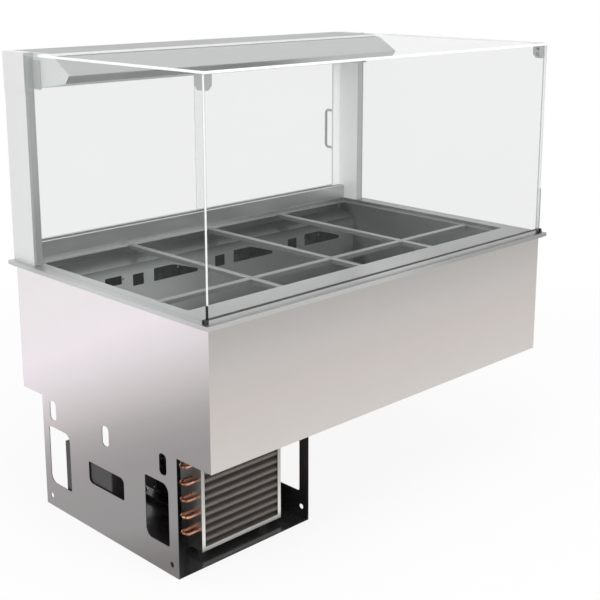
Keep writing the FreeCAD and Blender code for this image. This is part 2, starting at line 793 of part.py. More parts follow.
def build_compressor():
    """Domed compressor shell on a base plate, four rubber feet, with two pipe stubs on top."""
    r = compressor_r
    h = compressor_height
    shell = rod("Z", comp_z1, comp_z1 + h, comp_x, comp_y, r)
    shell = shell.makeFillet(compressor_dome_r, [e for e in shell.Edges
                                                 if e.BoundBox.ZMin > comp_z1 + h - 1])
    shell = shell.makeFillet(compressor_foot_r, [e for e in shell.Edges
                                                 if e.BoundBox.ZMax < comp_z1 + 1])
    seam = rod("Z", comp_z1 + h * 0.48, comp_z1 + h * 0.48 + 5, comp_x, comp_y, r + 3)
    foot = prism(rounded(comp_x - r - 10, comp_x + r + 10, comp_y - r - 4, comp_y + r + 4, 16.0),
                 "Z", comp_z0, comp_z1)
    cover = prism(rounded(comp_y - 34, comp_y + 34, comp_z1 + 40, comp_z1 + 118, 8.0), "X",
                  comp_x - r - 26, comp_x - r + 12)
    stubs = [rod("Z", comp_z1 + h - 60, comp_z1 + h + 6, comp_x + dx, comp_y, pipe_r + 2.0)
             for dx in (-stub_offset, stub_offset)]
    save("compressor", merged([shell, seam, foot, cover] + stubs))
    feet = [rod("Z", bay_floor, comp_z0, comp_x + dx * (r - 8), comp_y + dy * (r - 14), 13.0)
            for dx in (-1, 1) for dy in (-1, 1)]
    save("compressor_feet", feet)


def build_pipes():
    """Copper pipes: compressor to condenser, liquid line, and suction line up to the tank."""
    z = comp_z1 + compressor_height + 6.0
    run_x = coil_end + delivery_side
    run_z = z + delivery_up
    delivery = pipe([(comp_x + stub_offset, comp_y, z), (comp_x + stub_offset, comp_y, run_z),
                     (run_x, comp_y, run_z), (run_x, last_column, run_z),
                     (run_x, last_column, last_level), (coil_out, last_column, last_level)],
                    pipe_r, delivery_bend_r)
    drier_x = bay_x1 - drier_side
    drier_y = bay_y1 - drier_in
    drier_z0 = z_bay + drier_up
    liquid_x = coil_out + liquid_side
    liquid_z = first_level - liquid_drop
    liquid = pipe([(coil_out, column_a, first_level), (liquid_x, column_a, first_level),
                   (liquid_x, column_a, liquid_z), (liquid_x, drier_y, liquid_z),
                   (drier_x, drier_y, liquid_z), (drier_x, drier_y, drier_z0)], pipe_r, pipe_bend_r)
    over = z_body - pipe_over
    (x_a, y_a), (x_b, y_b) = pipe_entries
    (x_c, y_c), (x_d, y_d) = evaporator_pipes
    top = tank_floor + pipe_end_up
    feed_z, suction_z = z_body + feed_up, z_body + suction_up
    feed = pipe([(drier_x, drier_y, drier_z0 + drier_length), (drier_x, drier_y, over),
                 (drier_x, y_b, over), (x_b, y_b, over), (x_b, y_b, feed_z), (x_d, y_b, feed_z),
                 (x_d, y_d, feed_z), (x_d, y_d, top)], pipe_r, pipe_bend_r)
    low = over - suction_drop
    suction = pipe([(comp_x - stub_offset, comp_y, z), (comp_x - stub_offset, comp_y, low),
                    (comp_x - stub_offset, y_a, low), (x_a, y_a, low), (x_a, y_a, suction_z),
                    (x_c, y_a, suction_z), (x_c, y_c, suction_z), (x_c, y_c, top)],
                   pipe_r, pipe_bend_r)
    save("refrigerant_pipes", [delivery, liquid, feed, suction])
    neck = drier_neck
    cone_r = pipe_r + 1.5
    clip_width, clip_sheet, clip_up = drier_clip
    drier = merged([rod("Z", drier_z0 + neck, drier_z0 + drier_length - neck, drier_x, drier_y, drier_r),
                    Part.makeCone(cone_r, drier_r, neck, Vec(drier_x, drier_y, drier_z0)),
                    Part.makeCone(drier_r, cone_r, neck,
                                  Vec(drier_x, drier_y, drier_z0 + drier_length - neck)),
                    box(drier_x, bay_x1 - plate, drier_y - clip_width / 2, drier_y + clip_width / 2,
                        drier_z0 + clip_up, drier_z0 + clip_up + clip_sheet)])
    save("filter_drier", drier)


def build_controls():
    """Control box by the left plate; dial, rocker switch and cable gland face the operator."""
    width, depth, height = control_box_size
    x0 = bay_x0 + 2 * plate + soft_gap
    x1 = x0 + width
    y0 = bay_y0 + control_box_start
    y1 = y0 + depth
    z0 = bay_floor
    z1 = z0 + height
    w = box_wall
    case = prism(rounded(x0, x1, y0, y1, 3.0), "Z", z0, z1)
    case = case.cut(box(x0 + w, x1 - w, y0 + w, y1 - w, z0 + w, z1 - w))
    x_mid = (x0 + x1) / 2
    z_knob = z1 - 52.0
    z_switch = z1 - 118.0
    z_gland = z0 + 40.0
    half_w, half_h = switch_size[0] / 2, switch_size[1] / 2
    case = case.cut(rod("Y", y1 - w - 1, y1 + 1, x_mid, z_knob, knob_stem_r + run_gap))
    case = case.cut(box(x_mid - half_w, x_mid + half_w, y1 - w - 1, y1 + 1,
                        z_switch - half_h, z_switch + half_h))
    case = case.cut(rod("Y", y1 - w - 1, y1 + 1, x_mid, z_gland, gland_r + soft_gap))
    save("control_box", case)
    rim = bezel_rim
    bezel = merged([box(x_mid - half_w - rim, x_mid + half_w + rim, y1, y1 + 2.0,
                        z_switch - half_h - rim, z_switch + half_h + rim),
                    box(x_mid - half_w, x_mid + half_w, y1 - 14.0, y1,
                        z_switch - half_h, z_switch + half_h)])
    bezel = bezel.cut(box(x_mid - half_w + rim, x_mid + half_w - rim, y1 - 12.0, y1 + 3.0,
                          z_switch - half_h + rim, z_switch + half_h - rim))
    save("switch_bezel", bezel)
    half_span = half_h - rim - 2.0
    rocker = prism([(y1 - 9.0, z_switch - 4.0), (y1 - 1.5, z_switch - half_span, 0.8),
                    (y1 + 2.5, z_switch - half_span, 0.8), (y1 + 4.0, z_switch),
                    (y1 + 6.5, z_switch + half_span - 1.0, 0.8),
                    (y1 + 2.5, z_switch + half_span, 0.8), (y1 - 9.0, z_switch + 4.0)],
                   "X", x_mid - half_w + rim + soft_gap, x_mid + half_w - rim - soft_gap)
    save("switch_rocker", rocker)
    face = y1 + soft_gap
    knob = merged([rod("Y", face, face + knob_length, x_mid, z_knob, knob_r),
                   rod("Y", y1 - w, face, x_mid, z_knob, knob_stem_r)])
    knob = knob.makeFillet(1.5, [e for e in knob.Edges if e.BoundBox.YMin > face + knob_length - 0.1])
    mark = box(x_mid - 1.0, x_mid + 1.0, face + knob_length - 0.8, face + knob_length + 1,
               z_knob + 3.0, z_knob + knob_r + 1)
    save("control_knob", knob.cut(mark))
    gland = merged([prism(hexagon(x_mid, z_gland, gland_nut_r), "Y", y1, y1 + 7.0),
                    rod("Y", y1 - 8.0, y1 + 18.0, x_mid, z_gland, gland_r)])
    save("cable_gland", gland.cut(rod("Y", y1 - 9.0, y1 + 19.0, x_mid, z_gland, gland_r - 3.5)))


# ---------------------------------------------------------------- case frame and doors
def build_posts():
    """Two hollow posts on the deck behind the side glass, with caps beside the canopy."""
    w = post_wall
    post = prism(rounded(x_left, case_x0, post_y0, post_y1, 2.0), "Z", z_deck, post_top)
    post = post.cut(box(x_left + w, case_x0 - w, post_y0 + w, post_y1 - w, z_deck - 1, post_top + 1))
    save("post_left", post)
    save("post_right", mirrored(post))
    lip = post_cap_lip
    cap = prism([(x_left - lip, post_y0, 1.0), (case_x0, post_y0), (case_x0, post_y1 + lip, 1.0),
                 (x_left - lip, post_y1 + lip, 3.0)], "Z", post_top, z_top)
    save("post_caps", [cap, mirrored(cap)])
    bracket = box(case_x0 - plate, case_x0, post_y0 - canopy_bracket_reach, post_y0,
                  post_top + 6.0, z_pane - canopy_bracket_drop)
    save("canopy_brackets", [bracket, mirrored(bracket)])


canopy_base = z_top - canopy_base_drop
nose_y = y_front + canopy_nose
shoulder_y = nose_y + canopy_slope_run
step_y = shoulder_y + canopy_seat_run
nose_z = z_top - canopy_nose_drop
lip_y = nose_y + canopy_lip_back
lip_z = nose_z - canopy_lip_drop
seat_z = z_pane - soft_gap
sheet_y0, sheet_z0 = lip_y + 3.0, lip_z + 3.5
sheet_y1, sheet_z1 = post_y0 - 4.0, canopy_base + canopy_wall + 1.5


def canopy_section():
    """Outer section of the canopy in (y, z), nose to the customer, seat for the roof glass."""
    return [(post_y1, z_top, 3.0), (step_y, z_top), (step_y, seat_z),
            (shoulder_y, seat_z, canopy_shoulder_r), (nose_y, nose_z, 3.0),
            (lip_y, lip_z, 2.0), (post_y0, canopy_base, 2.0), (post_y1, canopy_base, 2.0)]


def door_grooves(x0, x1, z0, z1):
    """Blocks that cut the two door grooves between two heights."""
    play = door_play
    return [box(x0, x1, y - play, y + door_thickness + play, z0, z1) for y in (door_inner, door_outer)]


def sheet_height(y):
    """Top of the canopy's bottom sheet, where the diffuser lies."""
    return sheet_z0 + (sheet_z1 - sheet_z0) * (y - sheet_y0) / (sheet_y1 - sheet_y0)


def build_canopy():
    """Hollow lamp canopy between the posts, closed by end caps, with door grooves underneath."""
    x0 = case_x0 + canopy_end_wall
    x1 = case_x1 - canopy_end_wall
    w = canopy_wall
    room = canopy_base + track_depth + 4.0
    inner = [(post_y1 - w, z_top - w), (step_y + w, z_top - w),
             (step_y + w, seat_z - w), (shoulder_y + 6, seat_z - w),
             (nose_y + 9.0, nose_z + 1.0), (sheet_y0, sheet_z0), (sheet_y1, sheet_z1),
             (sheet_y1, room), (post_y1 - w, room)]
    housing = prism(canopy_section(), "X", x0, x1).cut(prism(inner, "X", x0 - 1, x1 + 1))
    cap = prism(canopy_section(), "X", case_x0, x0)
    for groove in door_grooves(case_x0 - 1, case_x1 + 1, canopy_base - 1, canopy_base + track_depth):
        housing = housing.cut(groove)
        cap = cap.cut(groove)
    y0 = nose_y + lamp_slot[0]
    y1 = y0 + lamp_slot[1]
    housing = housing.cut(box(x0 + lamp_margin, x1 - lamp_margin, y0, y1,
                              canopy_base - 5, canopy_base + 30.0))
    save("canopy_housing", housing)
    save("canopy_end_caps", [cap, mirrored(cap)])

    a, b = y0 - diffuser_lap, y1 + diffuser_lap
    t = diffuser_thickness
    lens = [(a, sheet_height(a)), (b, sheet_height(b)), (b, sheet_height(b) + t),
            (a, sheet_height(a) + t)]
    save("lamp_diffuser", prism(lens, "X", x0 + lamp_margin - diffuser_lap,
                                x1 - lamp_margin + diffuser_lap))
    y = (y0 + y1) / 2
    z = z_top - lamp_drop
    foot, body, half = lamp_socket
    left = merged([box(x0, x0 + foot, y - 8.0, y + 8.0, z - 8.0, z + 8.0),
                   prism(rounded(y - half, y + half, z - half, z + half, 5.0), "X",
                         x0 + foot, x0 + foot + body)])
    save("lamp_sockets", [left, mirrored(left)])
    save("lamp_tube", rod("X", x0 + foot + body, x1 - foot - body, y, z, lamp_r))


def build_sill():
    """Lower door rail between the posts with two grooves."""
    top = z_deck + sill_height
    sill = box(case_x0, case_x1, sill_y0, post_y1, z_deck, top)
    for groove in door_grooves(case_x0 - 1, case_x1 + 1, top - track_depth, top + 1):
        sill = sill.cut(groove)
    save("rear_sill", sill)


def build_doors():
    """Two sliding glass doors, each with one stile at its outer end."""
    length = (case_x1 - case_x0 - 2 * door_play + door_overlap) / 2
    z0 = z_deck + sill_height - track_depth + soft_gap
    z1 = canopy_base + track_depth - 2.0
    z_mid = z_deck + handle_height
    inset = (door_thickness - door_pane) / 2

    x0 = case_x0 + door_play
    x2 = x0 + stile_width
    y = door_inner
    slot = box(x2 - stile_groove, x2 + 1, y + inset, y + inset + door_pane, z0 - 1, z1 + 1)
    pull_x = x0 + (stile_width - stile_groove - pull_width) / 2
    pull = prism(rounded(pull_x, pull_x + pull_width, z_mid - pull_length / 2,
                         z_mid + pull_length / 2, pull_width / 2 - 0.5), "Y",
                 y + door_thickness - pull_depth, y + door_thickness + 1)
    stile = box(x0, x2, y, y + door_thickness, z0, z1).cut(slot)
    save("door_left_stile", stile.cut(pull))
    save("door_left_glass", box(x2 - stile_groove, x0 + length, y + inset, y + inset + door_pane,
                                z0, z1))

    x1 = case_x1 - door_play
    x2 = x1 - stile_width
    y = door_outer
    slot = box(x2 - 1, x2 + stile_groove, y + inset, y + inset + door_pane, z0 - 1, z1 + 1)
    save("door_right_stile", box(x2, x1, y, y + door_thickness, z0, z1).cut(slot))
    save("door_right_glass", box(x1 - length, x2 + stile_groove, y + inset, y + inset + door_pane,
                                 z0, z1))
    x = x1 - handle_inset
    face = y + door_thickness
    low, high = z_mid - handle_span / 2, z_mid + handle_span / 2
    save("door_handle", pipe([(x, face, low), (x, face + handle_reach, low),
                              (x, face + handle_reach, high), (x, face, high)],
                             handle_r, handle_bend_r))


# ---------------------------------------------------------------- glass case
rail_z = z_deck + rail_lift
pivot_y = y_front + glass / 2
pivot_z = z_deck + pivot_block[2] / 2


def build_glass():
    """Front, side and roof panes."""
    save("front_glass", box(x_left, x_right, y_front, y_front + glass, rail_z + rail_height,
                            z_pane - soft_gap))
    side = box(x_left, x_left + glass, y_front + glass + soft_gap, post_y0, z_deck, z_pane)
    save("side_glass_left", side)
    save("side_glass_right", mirrored(side))
    save("roof_glass", box(x_left - roof_overhang_side, x_right + roof_overhang_side,
                           y_front - roof_overhang_front, step_y - soft_gap,
                           z_pane, z_top))


def build_front_fittings():
    """Bottom rail with end arms and pivots on the front glass, and the pivot blocks on the deck."""
    pieces = [box(x_left, x_right, y_front, y_front + glass, rail_z, rail_z + rail_height)]
    for edge, side, height in ((x_left, -1.0, arm_height_left), (x_right, 1.0, arm_height_right)):
        a, b = sorted((edge, edge + side * arm_sheet))
        foot = z_deck + 1.5
        pieces.append(prism([(y_front, foot, 2.0), (y_front + glass, foot, 2.0),
                             (y_front + glass, rail_z + height), (y_front, rail_z + height)],
                            "X", a, b))
        c, d = sorted((edge + side * arm_sheet, edge + side * (arm_sheet + pivot_length)))
        pieces.append(rod("X", c, d, pivot_y, pivot_z, pivot_r))
    save("front_glass_rail", merged(pieces))
    width, depth, height = pivot_block
    x1 = x_left - arm_sheet - soft_gap
    block = prism([(pivot_y - depth / 2, z_deck), (pivot_y + depth / 2, z_deck),
                   (pivot_y + depth / 2, z_deck + height, 4.0),
                   (pivot_y - depth / 2, z_deck + height, 4.0)], "X", x1 - width, x1)
    block = block.cut(rod("X", x1 - width - 1, x1 + 1, pivot_y, pivot_z, pivot_r + run_gap))
    save("pivot_blocks", [block, mirrored(block)])


def build_clamps():
    """Angle clamps inside the two front top corners, screwed to the side panes."""
    x0 = x_left + glass
    y0 = y_front + glass + soft_gap
    t = clamp_thickness
    b = clamp_bevel
    low = z_pane - clamp_height
    y1, x1 = y0 + clamp_side_leg, x0 + clamp_front_leg
    on_side = prism([(y0, low), (y1 - b, low), (y1, low + b), (y1, z_pane), (y0, z_pane)],
                    "X", x0, x0 + t)
    on_front = prism([(x0, low), (x1 - b, low), (x1, low + b), (x1, z_pane), (x0, z_pane)],
                     "Y", y0, y0 + t)
    on_roof = prism([(x0, y0), (x1, y0), (x1, y0 + b), (x0 + b, y1), (x0, y1)], "Z", z_pane - t, z_pane)
    screws = [rod("X", x0 + t - 1, x0 + t + 2.5, y0 + clamp_side_leg * 0.55, low + share * clamp_height,
                  clamp_screw_r) for share in (0.3, 0.68)]
    clamp = merged([on_side, on_front, on_roof] + screws)
    save("corner_clamps", [clamp, mirrored(clamp)])


def main():
    """Builds every node."""
    os.makedirs("parts", exist_ok=True)
    build_casing()
    build_deck()
    build_tank()
    build_duct_cover()
    build_bars()
    build_evaporator()
    build_evaporator_fans()
    build_drain()
    build_bay()
    build_condenser()
    build_condenser_fan()
    build_compressor()
    build_pipes()
    build_controls()
    build_posts()
    build_canopy()
    build_sill()
    build_doors()
    build_glass()
    build_front_fittings()
    build_clamps()


main()
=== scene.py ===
"""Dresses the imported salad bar: a drop-in cold well with a glass case, a lamp canopy and a machine bay."""

import logging
import math
from dataclasses import dataclass
from enum import Enum
from typing import Protocol

import bmesh
import bpy
import numpy as np
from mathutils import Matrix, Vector


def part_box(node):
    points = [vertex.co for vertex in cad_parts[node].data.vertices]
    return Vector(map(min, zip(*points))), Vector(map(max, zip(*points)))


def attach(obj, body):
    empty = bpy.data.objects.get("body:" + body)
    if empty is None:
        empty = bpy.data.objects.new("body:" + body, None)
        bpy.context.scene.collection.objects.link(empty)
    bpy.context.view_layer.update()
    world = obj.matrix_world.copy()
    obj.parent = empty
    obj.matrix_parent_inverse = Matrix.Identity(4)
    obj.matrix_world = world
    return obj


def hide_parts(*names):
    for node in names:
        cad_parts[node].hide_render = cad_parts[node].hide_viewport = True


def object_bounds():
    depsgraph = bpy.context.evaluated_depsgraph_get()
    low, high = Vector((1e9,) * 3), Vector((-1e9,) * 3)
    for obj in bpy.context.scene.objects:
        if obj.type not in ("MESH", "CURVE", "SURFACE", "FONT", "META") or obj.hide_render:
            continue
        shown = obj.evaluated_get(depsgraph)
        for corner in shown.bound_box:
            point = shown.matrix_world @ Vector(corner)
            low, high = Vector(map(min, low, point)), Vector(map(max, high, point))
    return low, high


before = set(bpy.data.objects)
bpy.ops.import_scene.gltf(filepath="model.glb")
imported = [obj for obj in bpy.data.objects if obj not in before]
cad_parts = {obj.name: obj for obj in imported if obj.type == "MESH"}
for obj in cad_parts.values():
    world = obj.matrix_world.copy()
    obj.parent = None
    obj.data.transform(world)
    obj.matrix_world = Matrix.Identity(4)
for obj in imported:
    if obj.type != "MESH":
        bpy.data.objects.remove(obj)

LOG = logging.getLogger("salad_bar")
Triple = tuple[float, float, float]
Mesh = tuple[np.ndarray, list[list[int]]]
Stops = tuple[tuple[float, Triple], ...]
Profile = tuple[tuple[float, float], ...]
Socket = bpy.types.NodeSocket
Material = bpy.types.Material
CAD_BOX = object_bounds()


class Axis(Enum):
    """One axis of the row frame."""

    X = 0
    Y = 1
    Z = 2

    def point(self, along: np.ndarray, u: np.ndarray, v: np.ndarray) -> tuple[np.ndarray, ...]:
        """X, Y and Z of points at heights along the axis and at (u, v) across it."""
        return {Axis.X: (along, u, v), Axis.Y: (u, along, v), Axis.Z: (u, v, along)}[self]


# ---------------------------------------------------------------- node graphs
class Tree:
    """A node tree, and short ways to add to it."""

    def __init__(self, owner: Material | bpy.types.World) -> None:
        """Empties the owner's node tree."""
        owner.use_nodes = True
        self.tree = owner.node_tree
        self.tree.nodes.clear()

    def add(self, kind: str) -> bpy.types.Node:
        """New node of a kind."""
        return self.tree.nodes.new(kind)

    def join(self, source: Socket, target: Socket) -> None:
        """Links an output to an input."""
        self.tree.links.new(source, target)

    def feed(self, value: Socket | Triple | float, target: Socket) -> None:
        """Gives an input a link, a colour or a number."""
        if isinstance(value, Socket):
            self.join(value, target)
        else:
            target.default_value = (*value, 1.0) if isinstance(value, tuple) else value

    def sums(self, operation: str, first: Socket, second: Socket | float) -> Socket:
        """One arithmetic step on values."""
        node = self.add("ShaderNodeMath")
        node.operation = operation
        self.feed(first, node.inputs[0])
        self.feed(second, node.inputs[1])
        return node.outputs[0]

    def shared(self, share: Socket, first: Socket, second: Socket, target: Socket) -> None:
        """Two shaders mixed by a share, into an output's surface."""
        mix = self.add("ShaderNodeMixShader")
        for source, socket in zip((share, first, second), mix.inputs):
            self.join(source, socket)
        self.join(mix.outputs[0], target)


class Graph(Tree):
    """A material's node tree with one Principled shader."""

    def __init__(self, name: str, roughness: float, metallic: float = 0.0) -> None:
        """Starts the material.

        Args:
            name: the material's name.
            roughness: the shader's plain roughness.
            metallic: 1 for bare metal.
        """
        self.material = bpy.data.materials.new(name)
        super().__init__(self.material)
        self.output = self.add("ShaderNodeOutputMaterial")
        self.shader = self.add("ShaderNodeBsdfPrincipled")
        self.shader.inputs["Roughness"].default_value = roughness
        self.shader.inputs["Metallic"].default_value = metallic
        self.join(self.shader.outputs[0], self.output.inputs["Surface"])
        self.coords = self.add("ShaderNodeTexCoord")

    def spread(self, scale: Triple) -> Socket:
        """Object coordinates times a scale per axis."""
        node = self.add("ShaderNodeMapping")
        node.inputs["Scale"].default_value = scale
        self.join(self.coords.outputs["Object"], node.inputs["Vector"])
        return node.outputs["Vector"]

    def noise(self, scale: Triple, detail: float = 3.0, roughness: float = 0.55) -> Socket:
        """Noise from 0 to 1 whose grains per metre are the scale.

        Args:
            scale: grains per metre along X, Y and Z.
            detail: octaves of finer grains.
            roughness: weight of each finer octave.

        Returns:
            The noise value's socket.
        """
        node = self.add("ShaderNodeTexNoise")
        node.inputs["Scale"].default_value = 1.0
        node.inputs["Detail"].default_value = detail
        node.inputs["Roughness"].default_value = roughness
        self.join(self.spread(scale), node.inputs["Vector"])
        return node.outputs["Fac"]

    def span(self, value: Socket, low: float, high: float,
             start: float = 0.3, end: float = 0.7) -> Socket:
        """Value mapped from start..end onto low..high, held at both."""
        node = self.add("ShaderNodeMapRange")
        for socket, number in (("From Min", start), ("From Max", end), ("To Min", low), ("To Max", high)):
            node.inputs[socket].default_value = number
        self.join(value, node.inputs["Value"])
        return node.outputs["Result"]

    def ramp(self, value: Socket, stops: list[tuple[float, Triple]]) -> Socket:
        """Colours blended between stops of a value from 0 to 1."""
        node = self.add("ShaderNodeValToRGB")
        elements = node.color_ramp.elements
        while len(elements) < len(stops):
            elements.new(0.5)
        for element, (place, colour) in zip(elements, stops):
            element.position = place
            element.color = (*colour, 1.0)
        self.join(value, node.inputs["Fac"])
        return node.outputs["Color"]

    def blend(self, kind: str, factor: Socket | float, first: Socket | Triple,
              second: Socket | Triple) -> Socket:
        """Two colours blended in one of the mix node's ways, by a factor."""
        node = self.add("ShaderNodeMix")
        node.data_type = "RGBA"
        node.blend_type = kind
        self.feed(factor, node.inputs["Factor"])
        self.feed(first, node.inputs[6])
        self.feed(second, node.inputs[7])
        return node.outputs[2]

    def tint(self, factor: Socket, first: Socket | Triple, second: Socket | Triple) -> Socket:
        """Two colours mixed by a factor."""
        return self.blend("MIX", factor, first, second)

    def product(self, first: Socket | Triple, second: Socket) -> Socket:
        """One colour times another."""
        return self.blend("MULTIPLY", 1.0, first, second)

    def dot(self, output: str, way: Triple) -> Socket:
        """One of the texture coordinates, measured along a direction."""
        node = self.add("ShaderNodeVectorMath")
        node.operation = "DOT_PRODUCT"
        node.inputs[1].default_value = way
        self.join(self.coords.outputs[output], node.inputs[0])
        return node.outputs["Value"]

    def along(self, direction: Triple) -> Socket:
        """Place along a direction, in metres from the origin."""
        return self.dot("Object", direction)

    def facing(self, axis: Axis, limit: float = 0.5) -> Socket:
        """1 on faces whose normal has more than the limit along the axis, either way, else 0."""
        parts = self.add("ShaderNodeSeparateXYZ")
        self.join(self.coords.outputs["Normal"], parts.inputs[0])
        size = self.sums("ABSOLUTE", parts.outputs[axis.value], 0.0)
        return self.sums("GREATER_THAN", size, limit)

    def looking(self, way: Triple, limit: float = 0.5) -> Socket:
        """1 on faces whose normal, measured along a direction, is over the limit, else 0."""
        return self.sums("GREATER_THAN", self.dot("Normal", way), limit)

    def brushed(self, grain: Axis, fine: float = 900.0, coarse: float = 9.0,
                weight: float = 0.6) -> Socket:
        """Noise stretched along an axis: fine grains per metre across it and coarse ones along it."""
        scale = [fine, fine, fine]
        scale[grain.value] = coarse
        return self.noise(tuple(scale), 2.0, weight)

    def tones(self, way: Triple, stops: Stops) -> Socket:
        """Colours blended by the place along a direction, whose stops are in metres."""
        low, high = stops[0][0], stops[-1][0]
        place = self.span(self.along(way), 0.0, 1.0, low, high)
        return self.ramp(place, [((at - low) / (high - low), colour) for at, colour in stops])

    def relief(self, height: Socket, depth: float, strength: float = 1.0) -> None:
        """Bump from a height map whose full range is the depth in metres."""
        node = self.add("ShaderNodeBump")
        node.inputs["Strength"].default_value = strength
        node.inputs["Distance"].default_value = depth
        self.join(height, node.inputs["Height"])
        self.join(node.outputs["Normal"], self.shader.inputs["Normal"])

    def paint(self, colour: Socket) -> Material:
        """Sets the base colour and gives the finished material."""
        self.join(colour, self.shader.inputs["Base Color"])
        return self.material

    def rough(self, value: Socket) -> None:
        """Roughness from a value."""
        self.join(value, self.shader.inputs["Roughness"])


def scaled(colour: Triple, by: float) -> Triple:
    """Colour times a factor, held at 1."""
    return tuple(min(1.0, c * by) for c in colour)


def even(level: float) -> Triple:
    """Neutral grey of a level."""
    return (level, level, level)


def middle(low: Vector, high: Vector) -> Triple:
    """Middle of a box, from its two corners."""
    return tuple((a + b) / 2 for a, b in zip(low, high))


# ---------------------------------------------------------------- finishes
@dataclass(frozen=True)
class BrushedSteel:
    """Stainless sheet brushed along one axis, with faint smudges, a slow change of tone, and an optional
    ramp of painted shade.
    """

    name: str
    colour: Triple = (0.60, 0.60, 0.60)
    grain: Axis = Axis.X
    roughness: float = 0.32
    metallic: float = 1.0
    tone_way: Triple = (0.0, 0.0, 0.0)
    tones: Stops = ()
    # Optional ramp of painted shade, multiplied over the colour along its own way.
    painted_shade_way: Triple = (1.0, 0.0, 0.0)
    painted_shade: Stops = ()

    def material(self) -> Material:
        """Streaks are noise stretched along the grain; the tones and the painted shade ramp run along ways,
        in metres.
        """
        graph = Graph(self.name, self.roughness, self.metallic)
        streak = graph.brushed(self.grain)
        smudge = graph.noise((7.0, 7.0, 7.0), 4.0, 0.6)
        base = graph.tones(self.tone_way, self.tones) if self.tones else self.colour
        if self.painted_shade:
            base = graph.product(base, graph.tones(self.painted_shade_way, self.painted_shade))
        shade = graph.product(graph.ramp(streak, [(0.25, even(0.965)), (0.75, even(1.0))]),
                              graph.ramp(smudge, [(0.3, even(0.975)), (0.7, even(1.0))]))
        graph.rough(graph.sums("ADD", graph.span(streak, -0.02, 0.03),
                               graph.span(smudge, self.roughness - 0.02, self.roughness + 0.03)))
        graph.relief(streak, 0.00002, 0.35)
        return graph.paint(graph.product(base, shade))


@dataclass(frozen=True)
class AnodisedSection:
    """Anodised aluminium section, lighter or darker by the way a face looks, as painted light and shade.

    The painted glow is a small white emission over the whole section.
    """

    name: str
    side: Triple
    front: Triple
    # Painted tone for faces that look down.
    under: Triple = (0.30, 0.305, 0.305)
    grain: Axis = Axis.Z
    roughness: float = 0.30
    metallic: float = 0.35
    front_way: Triple = (0.0, -1.0, 0.0)
    # Painted glow: emission strength over the whole section.
    painted_glow: float = 0.0

    def material(self) -> Material:
        """Three tones by the normal, painted light and shade, with die lines as faint noise stretched along
        the section.
        """
        graph = Graph(self.name, self.roughness, self.metallic)
        graph.shader.inputs["Emission Color"].default_value = (1.0, 1.0, 1.0, 1.0)
        graph.shader.inputs["Emission Strength"].default_value = self.painted_glow
        lines = graph.brushed(self.grain, 260.0, 1.5, 0.5)
        cloud = graph.noise((9.0, 9.0, 4.0), 3.0, 0.6)
        body = graph.tint(graph.looking(self.front_way, 0.6), self.side, self.front)
        body = graph.tint(graph.looking((0.0, 0.0, -1.0), 0.3), body, self.under)
        shade = graph.ramp(lines, [(0.3, even(0.98)), (0.7, even(1.0))])
        graph.rough(graph.span(cloud, self.roughness - 0.02, self.roughness + 0.03))
        graph.relief(lines, 0.000004, 0.3)
        return graph.paint(graph.product(body, shade))


@dataclass(frozen=True)
class BayPlateSteel:
    """Bay plate: satin stainless outside, painted shade as a near black coat on its inner side, told apart
    by the place across it.
    """

    name: str
    outer_face: float
    inner_face: float
    tones: Stops
    tone_way: Triple = (0.0, 0.0, 0.0)

    def material(self) -> Material:
        """The outer third of the sheet is steel; the rest is painted shade, near black with a fine orange
        peel.
        """
        graph = Graph(self.name, 0.33)
        streak = graph.brushed(Axis.Y)
        shade = graph.ramp(streak, [(0.25, even(0.965)), (0.75, even(1.0))])
        steel = graph.product(graph.tones(self.tone_way, self.tones), shade)
        peel = graph.noise((500.0, 500.0, 500.0), 2.0, 0.5)
        # Near black painted shade for the inner side of the plate.
        black = graph.ramp(peel, [(0.3, (0.010, 0.010, 0.011)), (0.7, (0.022, 0.022, 0.024))])
        edge = self.outer_face + (self.inner_face - self.outer_face) * 0.35
        step = 0.0001 if self.inner_face > self.outer_face else -0.0001
        shaded_inner_side = graph.span(graph.along((1.0, 0.0, 0.0)), 0.0, 1.0, edge, edge + step)
        graph.join(graph.span(shaded_inner_side, 1.0, 0.0, 0.0, 1.0), graph.shader.inputs["Metallic"])
        graph.rough(graph.span(shaded_inner_side, 0.34, 0.30, 0.0, 1.0))
        graph.relief(streak, 0.00002, 0.4)
        return graph.paint(graph.tint(shaded_inner_side, steel, black))


@dataclass(frozen=True)
class Enamel:
    """Powder coat or enamel: an even colour with orange peel and a cloud of dust."""

    name: str
    colour: Triple
    roughness: float = 0.35
    grain: float = 450.0
    dust: float = 0.10

    def material(self) -> Material:
        """Orange peel is fine noise as relief; dust is a broad noise that lifts the colour."""
        graph = Graph(self.name, self.roughness)
        peel = graph.noise((self.grain,) * 3, 2.0, 0.5)
        cloud = graph.noise((11.0, 11.0, 11.0), 5.0, 0.65)
        lifted = tuple(c * (1 - self.dust) + 0.35 * self.dust for c in self.colour)
        graph.rough(graph.span(cloud, self.roughness - 0.06, self.roughness + 0.10))
        graph.relief(peel, 0.00006, 0.6)
        return graph.paint(graph.ramp(cloud, [(0.30, self.colour), (0.75, lifted)]))


@dataclass(frozen=True)
class MouldedPlastic:
    """Moulded plastic or rubber with a spark-eroded grain."""

    name: str
    colour: Triple
    roughness: float = 0.48
    grain: float = 1400.0

    def material(self) -> Material:
        """Grain is fine noise as relief and as a slight change of shade."""
        graph = Graph(self.name, self.roughness)
        pits = graph.noise((self.grain,) * 3, 3.0, 0.6)
        graph.rough(graph.span(pits, self.roughness - 0.05, self.roughness + 0.08))
        graph.relief(pits, 0.00005, 0.7)
        return graph.paint(graph.ramp(pits, [(0.3, scaled(self.colour, 0.85)),
                                             (0.7, scaled(self.colour, 1.15))]))


